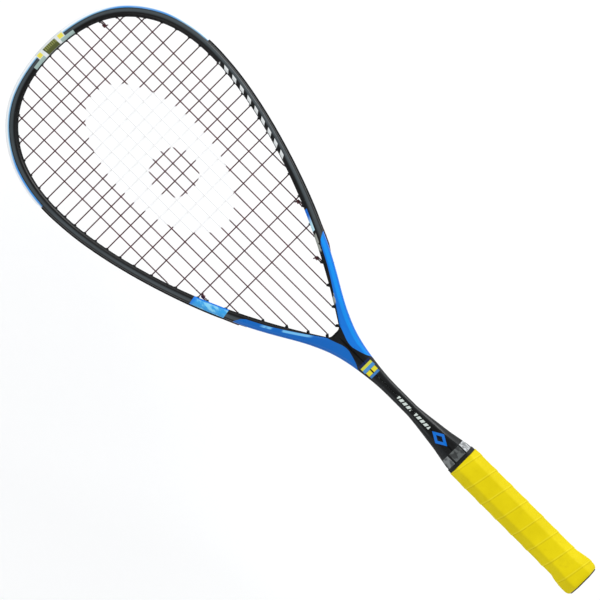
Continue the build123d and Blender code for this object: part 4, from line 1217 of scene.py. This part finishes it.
def bumper_material():
    mat = NodeMaterial("bumper_nylon_gradient")
    along, height = mat.attribute("fs"), mat.attribute("rho")
    grain = mat.noise(scale=1200, rough=0.6)
    cloud = mat.noise(scale=30)
    # blue at the tube, fading outwards to white: partly the pale nylon, partly a painted highlight
    # on the outer rim
    fade = mat.step(height, low=-1.1, high=1.7)
    colour = mat.mix(mat.step(fade, low=0, high=0.35), (104, 160, 204), (168, 210, 236))
    colour = mat.paint(colour, mat.step(fade, low=0.3, high=0.72), over=(250, 252, 253))
    zones = mat.math("MAXIMUM", mat.between(along, low=-168, high=-112, soft=9),
                     mat.between(along, low=66, high=128, soft=9))
    colour = mat.paint(colour, zones, mat.step(fade, low=1.05, high=0.25),
                       over=(52, 146, 228), amount=0.9)
    colour = mat.paint(colour, mat.step(cloud, low=0.45, high=0.7),
                       over=(228, 240, 246), amount=0.15)
    colour = tip_blocks(mat, colour, along, height)
    scuff = mat.noise(scale=140, detail=5, rough=0.7, stretch=(1, 1, 0.5))
    scuff = mat.mul(mat.step(scuff, low=0.6, high=0.72), mat.step(height, low=1.8, high=2.45))
    colour = mat.paint(colour, scuff, over=(150, 158, 162), amount=0.25)
    rough = mat.math("ADD", mat.step(grain, low=0.3, high=0.8, out=(0.42, 0.52)),
                     mat.mul(scuff, 0.12))
    return mat.finish(colour, rough, mat.bumps((grain, 0.1, 0.00008), (scuff, 0.2, 0.00008)),
                      spec=0.4)


def nylon_material(name, rgb, rough=(0.42, 0.55)):
    mat = NodeMaterial(name)
    grain = mat.noise(scale=1100, detail=4, rough=0.6)
    cloud = mat.noise(scale=60)
    colour = mat.mix(mat.step(cloud, low=0.35, high=0.7), rgb,
                     [min(255, c * 1.35 + 4) for c in rgb])
    wear = mat.step(mat.noise(scale=260, detail=5, rough=0.65), low=0.6, high=0.75)
    colour = mat.paint(colour, wear, over=[min(255, c + 46) for c in rgb], amount=0.18)
    return mat.finish(colour, mat.step(grain, low=0.3, high=0.75, out=rough),
                      mat.bumps((grain, 0.16, 0.0001)), spec=0.45)


def string_material():
    mat = NodeMaterial("string_multifilament")
    x, y, z = mat.axes()
    twist = mat.math("MULTIPLY_ADD", mat.attribute("along"), 9.5, mat.math("MULTIPLY", z, 4))
    ripple = mat.math("SINE", twist)
    fibre = mat.noise(scale=2600, detail=2)
    cloud = mat.noise(scale=70)
    colour = mat.mix(mat.step(cloud, low=0.35, high=0.7), (74, 30, 38), (92, 44, 52))
    colour = mat.paint(colour, mat.step(ripple, low=0.2, high=1),
                       over=(126, 84, 88), amount=0.22)
    colour = mat.paint(colour, mat.step(fibre, low=0.52, high=0.7),
                       over=(52, 18, 26), amount=0.22)

    def ellipse(middle_y, half_width, half_height):
        """Distance from a centre, 1 on the ellipse."""
        off = mat.math("SUBTRACT", y, middle_y)
        squares = [mat.math("POWER", mat.math("MULTIPLY", value, 1 / size), 2)
                   for value, size in ((x, half_width), (off, half_height))]
        return mat.math("SQRT", mat.math("ADD", *squares))

    # painted oval with a round hole and ragged edges
    outer = mat.flip(ellipse(middle_y=540, half_width=45, half_height=84))
    hole = ellipse(middle_y=522, half_width=22.6, half_height=22.6)
    hole = mat.math("SUBTRACT", hole, 1)
    ragged = mat.math("MULTIPLY_ADD", mat.noise(scale=500, detail=2), 0.05, -0.025)
    thin = mat.step(mat.noise(scale=900, rough=0.6), low=0.3, high=0.42, out=(0.72, 1))
    painted = mat.mul(mat.inside(mat.math("ADD", outer, ragged), soft=0.006),
                      mat.inside(mat.math("ADD", hole, ragged), soft=0.012))
    painted = mat.mul(painted, thin)
    colour = mat.paint(colour, painted, over=(250, 250, 250))
    return mat.finish(colour, mat.blend(painted, 0.34, 0.6),
                      mat.bumps((ripple, 0.12, 0.00005), (fibre, 0.08, 0.00004)))


def grip_material():
    mat = NodeMaterial("grip_cushion_yellow")
    above = mat.attribute("seam")
    fine = mat.noise(scale=1500, detail=4, rough=0.65)
    middling = mat.noise(scale=210, detail=4, rough=0.55)
    cloud = mat.noise(scale=32, detail=4, rough=0.6)
    colour = mat.mix(mat.step(cloud, low=0.35, high=0.68), (222, 202, 2), (230, 210, 6))
    colour = mat.paint(colour, mat.step(middling, low=0.52, high=0.72),
                       over=(204, 178, 2), amount=0.16)
    # painted shadow in the seam, with a painted highlight along the raised edge above it
    seam = mat.math("MAXIMUM", mat.step(above, low=0.55, high=0.05),
                    mat.step(above, low=PITCH - 0.75, high=PITCH - 0.1))
    colour = mat.paint(colour, seam, over=(160, 132, 0), amount=0.4)
    # painted highlight on the raised lower edge of the turn above the seam
    colour = mat.paint(colour, mat.between(above, low=0.55, high=1.5, soft=0.3),
                       over=(250, 236, 60), amount=0.35)
    grime = mat.noise(scale=55, detail=5, rough=0.7)
    colour = mat.paint(colour, mat.step(grime, low=0.56, high=0.74),
                       over=(172, 148, 20), amount=0.14)
    return mat.finish(colour, mat.step(middling, low=0.3, high=0.7, out=(0.46, 0.6)),
                      mat.bumps((fine, 0.22, 0.00012), (middling, 0.16, 0.0003)), spec=0.1)


def foam_material():
    mat = NodeMaterial("pallet_foam_cells")
    cells = mat.noise(scale=620, detail=5, rough=0.7)
    colour = mat.mix(mat.step(cells, low=0.35, high=0.65), (176, 160, 120), (208, 194, 152))
    return mat.finish(colour, mat.step(cells, low=0.3, high=0.7, out=(0.7, 0.85)),
                      mat.bumps((cells, 0.5, 0.0003)))


def steel_material():
    mat = NodeMaterial("staple_zinc_drawn")
    lines = mat.noise(scale=900, stretch=(1, 8, 1))
    colour = mat.mix(mat.step(lines, low=0.35, high=0.65), (150, 152, 156), (190, 192, 196))
    return mat.finish(colour, mat.step(lines, low=0.3, high=0.7, out=(0.25, 0.42)),
                      mat.bumps((lines, 0.1, 0.00005)), metallic=1)


def floor_material():
    """Pale from above and clear from below."""
    mat = NodeMaterial("floor_pale")
    patches = mat.step(mat.noise(scale=3, detail=2), low=0.3, high=0.7)
    colour = mat.mix(patches, (0.94, 0.94, 0.94, 1), (0.96, 0.96, 0.96, 1))  # already linear
    mat.finish(colour, rough=0.9, spec=0.1)
    mat.shader.inputs["Emission Color"].default_value = (1, 1, 1, 1)
    mat.shader.inputs["Emission Strength"].default_value = 0.08
    clear, choice = mat.node("BsdfTransparent"), mat.node("MixShader")
    mat.put(mat.node("NewGeometry").outputs["Backfacing"], choice.inputs[0])
    mat.put(mat.shader.outputs[0], choice.inputs[1])
    mat.put(clear.outputs[0], choice.inputs[2])
    mat.put(choice.outputs[0], mat.output.inputs[0])
    return mat.material


frame_paint, bumper_nylon = frame_material(), bumper_material()
nylon = nylon_material("grommet_nylon_black", (12, 13, 16))
string_nylon, grip_rubber = string_material(), grip_material()
cap_plastic = nylon_material("cap_plastic_black", (17, 17, 19))
collar_rubber = nylon_material("collar_rubber_black", (13, 13, 14), rough=(0.5, 0.65))
foam, steel = foam_material(), steel_material()

# ---- Pieces
all_holes = [*main_holes.values(), *cross_holes.values()]
bumper_holes = [hole for hole in all_holes if hole.y > BUMPER_END_Y]
strip_holes = [hole for hole in all_holes if STRIP_END_Y < hole.y <= BUMPER_END_Y]
left_holes, right_holes = ([hole for hole in strip_holes if hole.tip[0] * side > 0]
                           for side in (-1, 1))
# object, build, CAD node it replaces, slot, material, sharp angle in degrees
pieces = [
    ("frame_shell", build_frame(), "frame", "frame_lacquer", frame_paint, 28),
    ("bumper_moulding", build_guard(), "bumper_guard", "bumper_nylon", bumper_nylon, 30),
    ("bumper_barrels", build_barrels(bumper_holes), None, "bumper_nylon", nylon, 40),
    ("strip_left_moulding", build_strip(-1, left_holes), "grommet_strip_left",
     "grommet_nylon", nylon, 35),
    ("strip_right_moulding", build_strip(1, right_holes), "grommet_strip_right",
     "grommet_nylon", nylon, 35),
    ("strings_main", build_mains(), "main_string", "string_nylon", string_nylon, 60),
    ("strings_cross", build_crosses(), "cross_string", "string_nylon", string_nylon, 60),
    ("grip_wound", build_grip(), "grip_wrap", "grip_rubber", grip_rubber, 40),
    ("butt_cap_moulding", build_cap(), "butt_cap", "cap_plastic", cap_plastic, 35),
    ("butt_cap_disc_turned", build_disc(), "butt_cap_disc", "cap_plastic", cap_plastic, 35),
    ("grip_collar_ring", build_collar(), "grip_collar", "collar_rubber", collar_rubber, 40)]
for side, word in ((-1, "left"), (1, "right")):
    holes = [hole for hole in all_holes if hole.y <= STRIP_END_Y and hole.tip[0] * side > 0]
    for number, hole in enumerate(sorted(holes, key=lambda hole: hole.y), 1):
        node = f"throat_grommet_{word}_{number}"
        pieces.append((node + "_moulding", build_throat_grommet(hole), node,
                       "grommet_nylon", nylon, 35))
for name, build, node, slot, material, angle in pieces:
    piece = build.object(name, slot, angle, material)
    if node:
        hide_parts(node)

CAD_MATERIALS = {"handle_pallet_front": foam, "handle_pallet_back": foam,
                 "tail_end_plugs": foam, "butt_cap_staples": steel}
for piece in bpy.context.scene.objects:
    if "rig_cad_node" in piece and not piece.hide_render:
        piece.data.materials.clear()
        piece.data.materials.append(CAD_MATERIALS.get(piece["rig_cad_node"], nylon))

# ---- Floor, light and camera, in metres
FLOOR_Z, FLOOR_HALF, FLOOR_CELLS = -0.3, 6, 24
MIDDLE = (0, 0.36, 0)
ticks = np.linspace(-FLOOR_HALF, FLOOR_HALF, FLOOR_CELLS + 1)
floor_mesh = bpy.data.meshes.new("floor")
floor_mesh.from_pydata([(x, y + MIDDLE[1], FLOOR_Z) for y in ticks for x in ticks], [],
                       grid_faces(len(ticks), len(ticks), closed_columns=False))
floor = bpy.data.objects.new("floor", floor_mesh)
bpy.context.scene.collection.objects.link(floor)
floor_mesh.materials.append(floor_material())

world = bpy.data.worlds.new("studio")
world.use_nodes = True
world_tree = world.node_tree
background = world_tree.nodes["Background"]
background.inputs[0].default_value = (0.97, 0.985, 1, 1)
# strength is 0.70, less 0.48 in reflections
light_path = world_tree.nodes.new("ShaderNodeLightPath")
strength = world_tree.nodes.new("ShaderNodeMath")
strength.operation = "MULTIPLY_ADD"
strength.inputs[1].default_value, strength.inputs[2].default_value = -0.48, 0.7
world_tree.links.new(light_path.outputs["Is Glossy Ray"], strength.inputs[0])
world_tree.links.new(strength.outputs[0], background.inputs[1])
bpy.context.scene.world = world


def area_light(name, place, size, watts):
    data = bpy.data.lights.new(name, "AREA")
    data.shape = "RECTANGLE"
    data.size, data.size_y = size
    data.energy = watts
    light = bpy.data.objects.new(name, data)
    light.location = place
    light.rotation_mode = "QUATERNION"
    light.rotation_quaternion = (Vector(MIDDLE) - Vector(place)).to_track_quat("-Z", "Y")
    bpy.context.scene.collection.objects.link(light)


area_light("key", place=(1.75, 0.45, 1.15), size=(0.8, 1.5), watts=24)
area_light("fill", place=(-1.4, 0.2, 1.6), size=(1, 1.6), watts=6)

SENSOR, CAMERA_HEIGHT, HALF_VIEW = 36, 4, 0.2707  # SENSOR is in mm
camera_data = bpy.data.cameras.new("photo_camera")
camera_data.sensor_width = SENSOR
camera_data.lens = SENSOR / 2 * CAMERA_HEIGHT / HALF_VIEW
camera_data.clip_start, camera_data.clip_end = 0.01, 50
camera = bpy.data.objects.new("photo_camera", camera_data)
bpy.context.scene.collection.objects.link(camera)
diagonal = math.sqrt(0.5)  # looks straight down, rolled by 45 degrees
camera.matrix_world = Matrix(((diagonal, diagonal, 0, -0.001), (-diagonal, diagonal, 0, 0.3603),
                              (0, 0, 1, CAMERA_HEIGHT), (0, 0, 0, 1)))
bpy.context.scene.camera = camera
bpy.context.scene.view_settings.view_transform = "Standard"
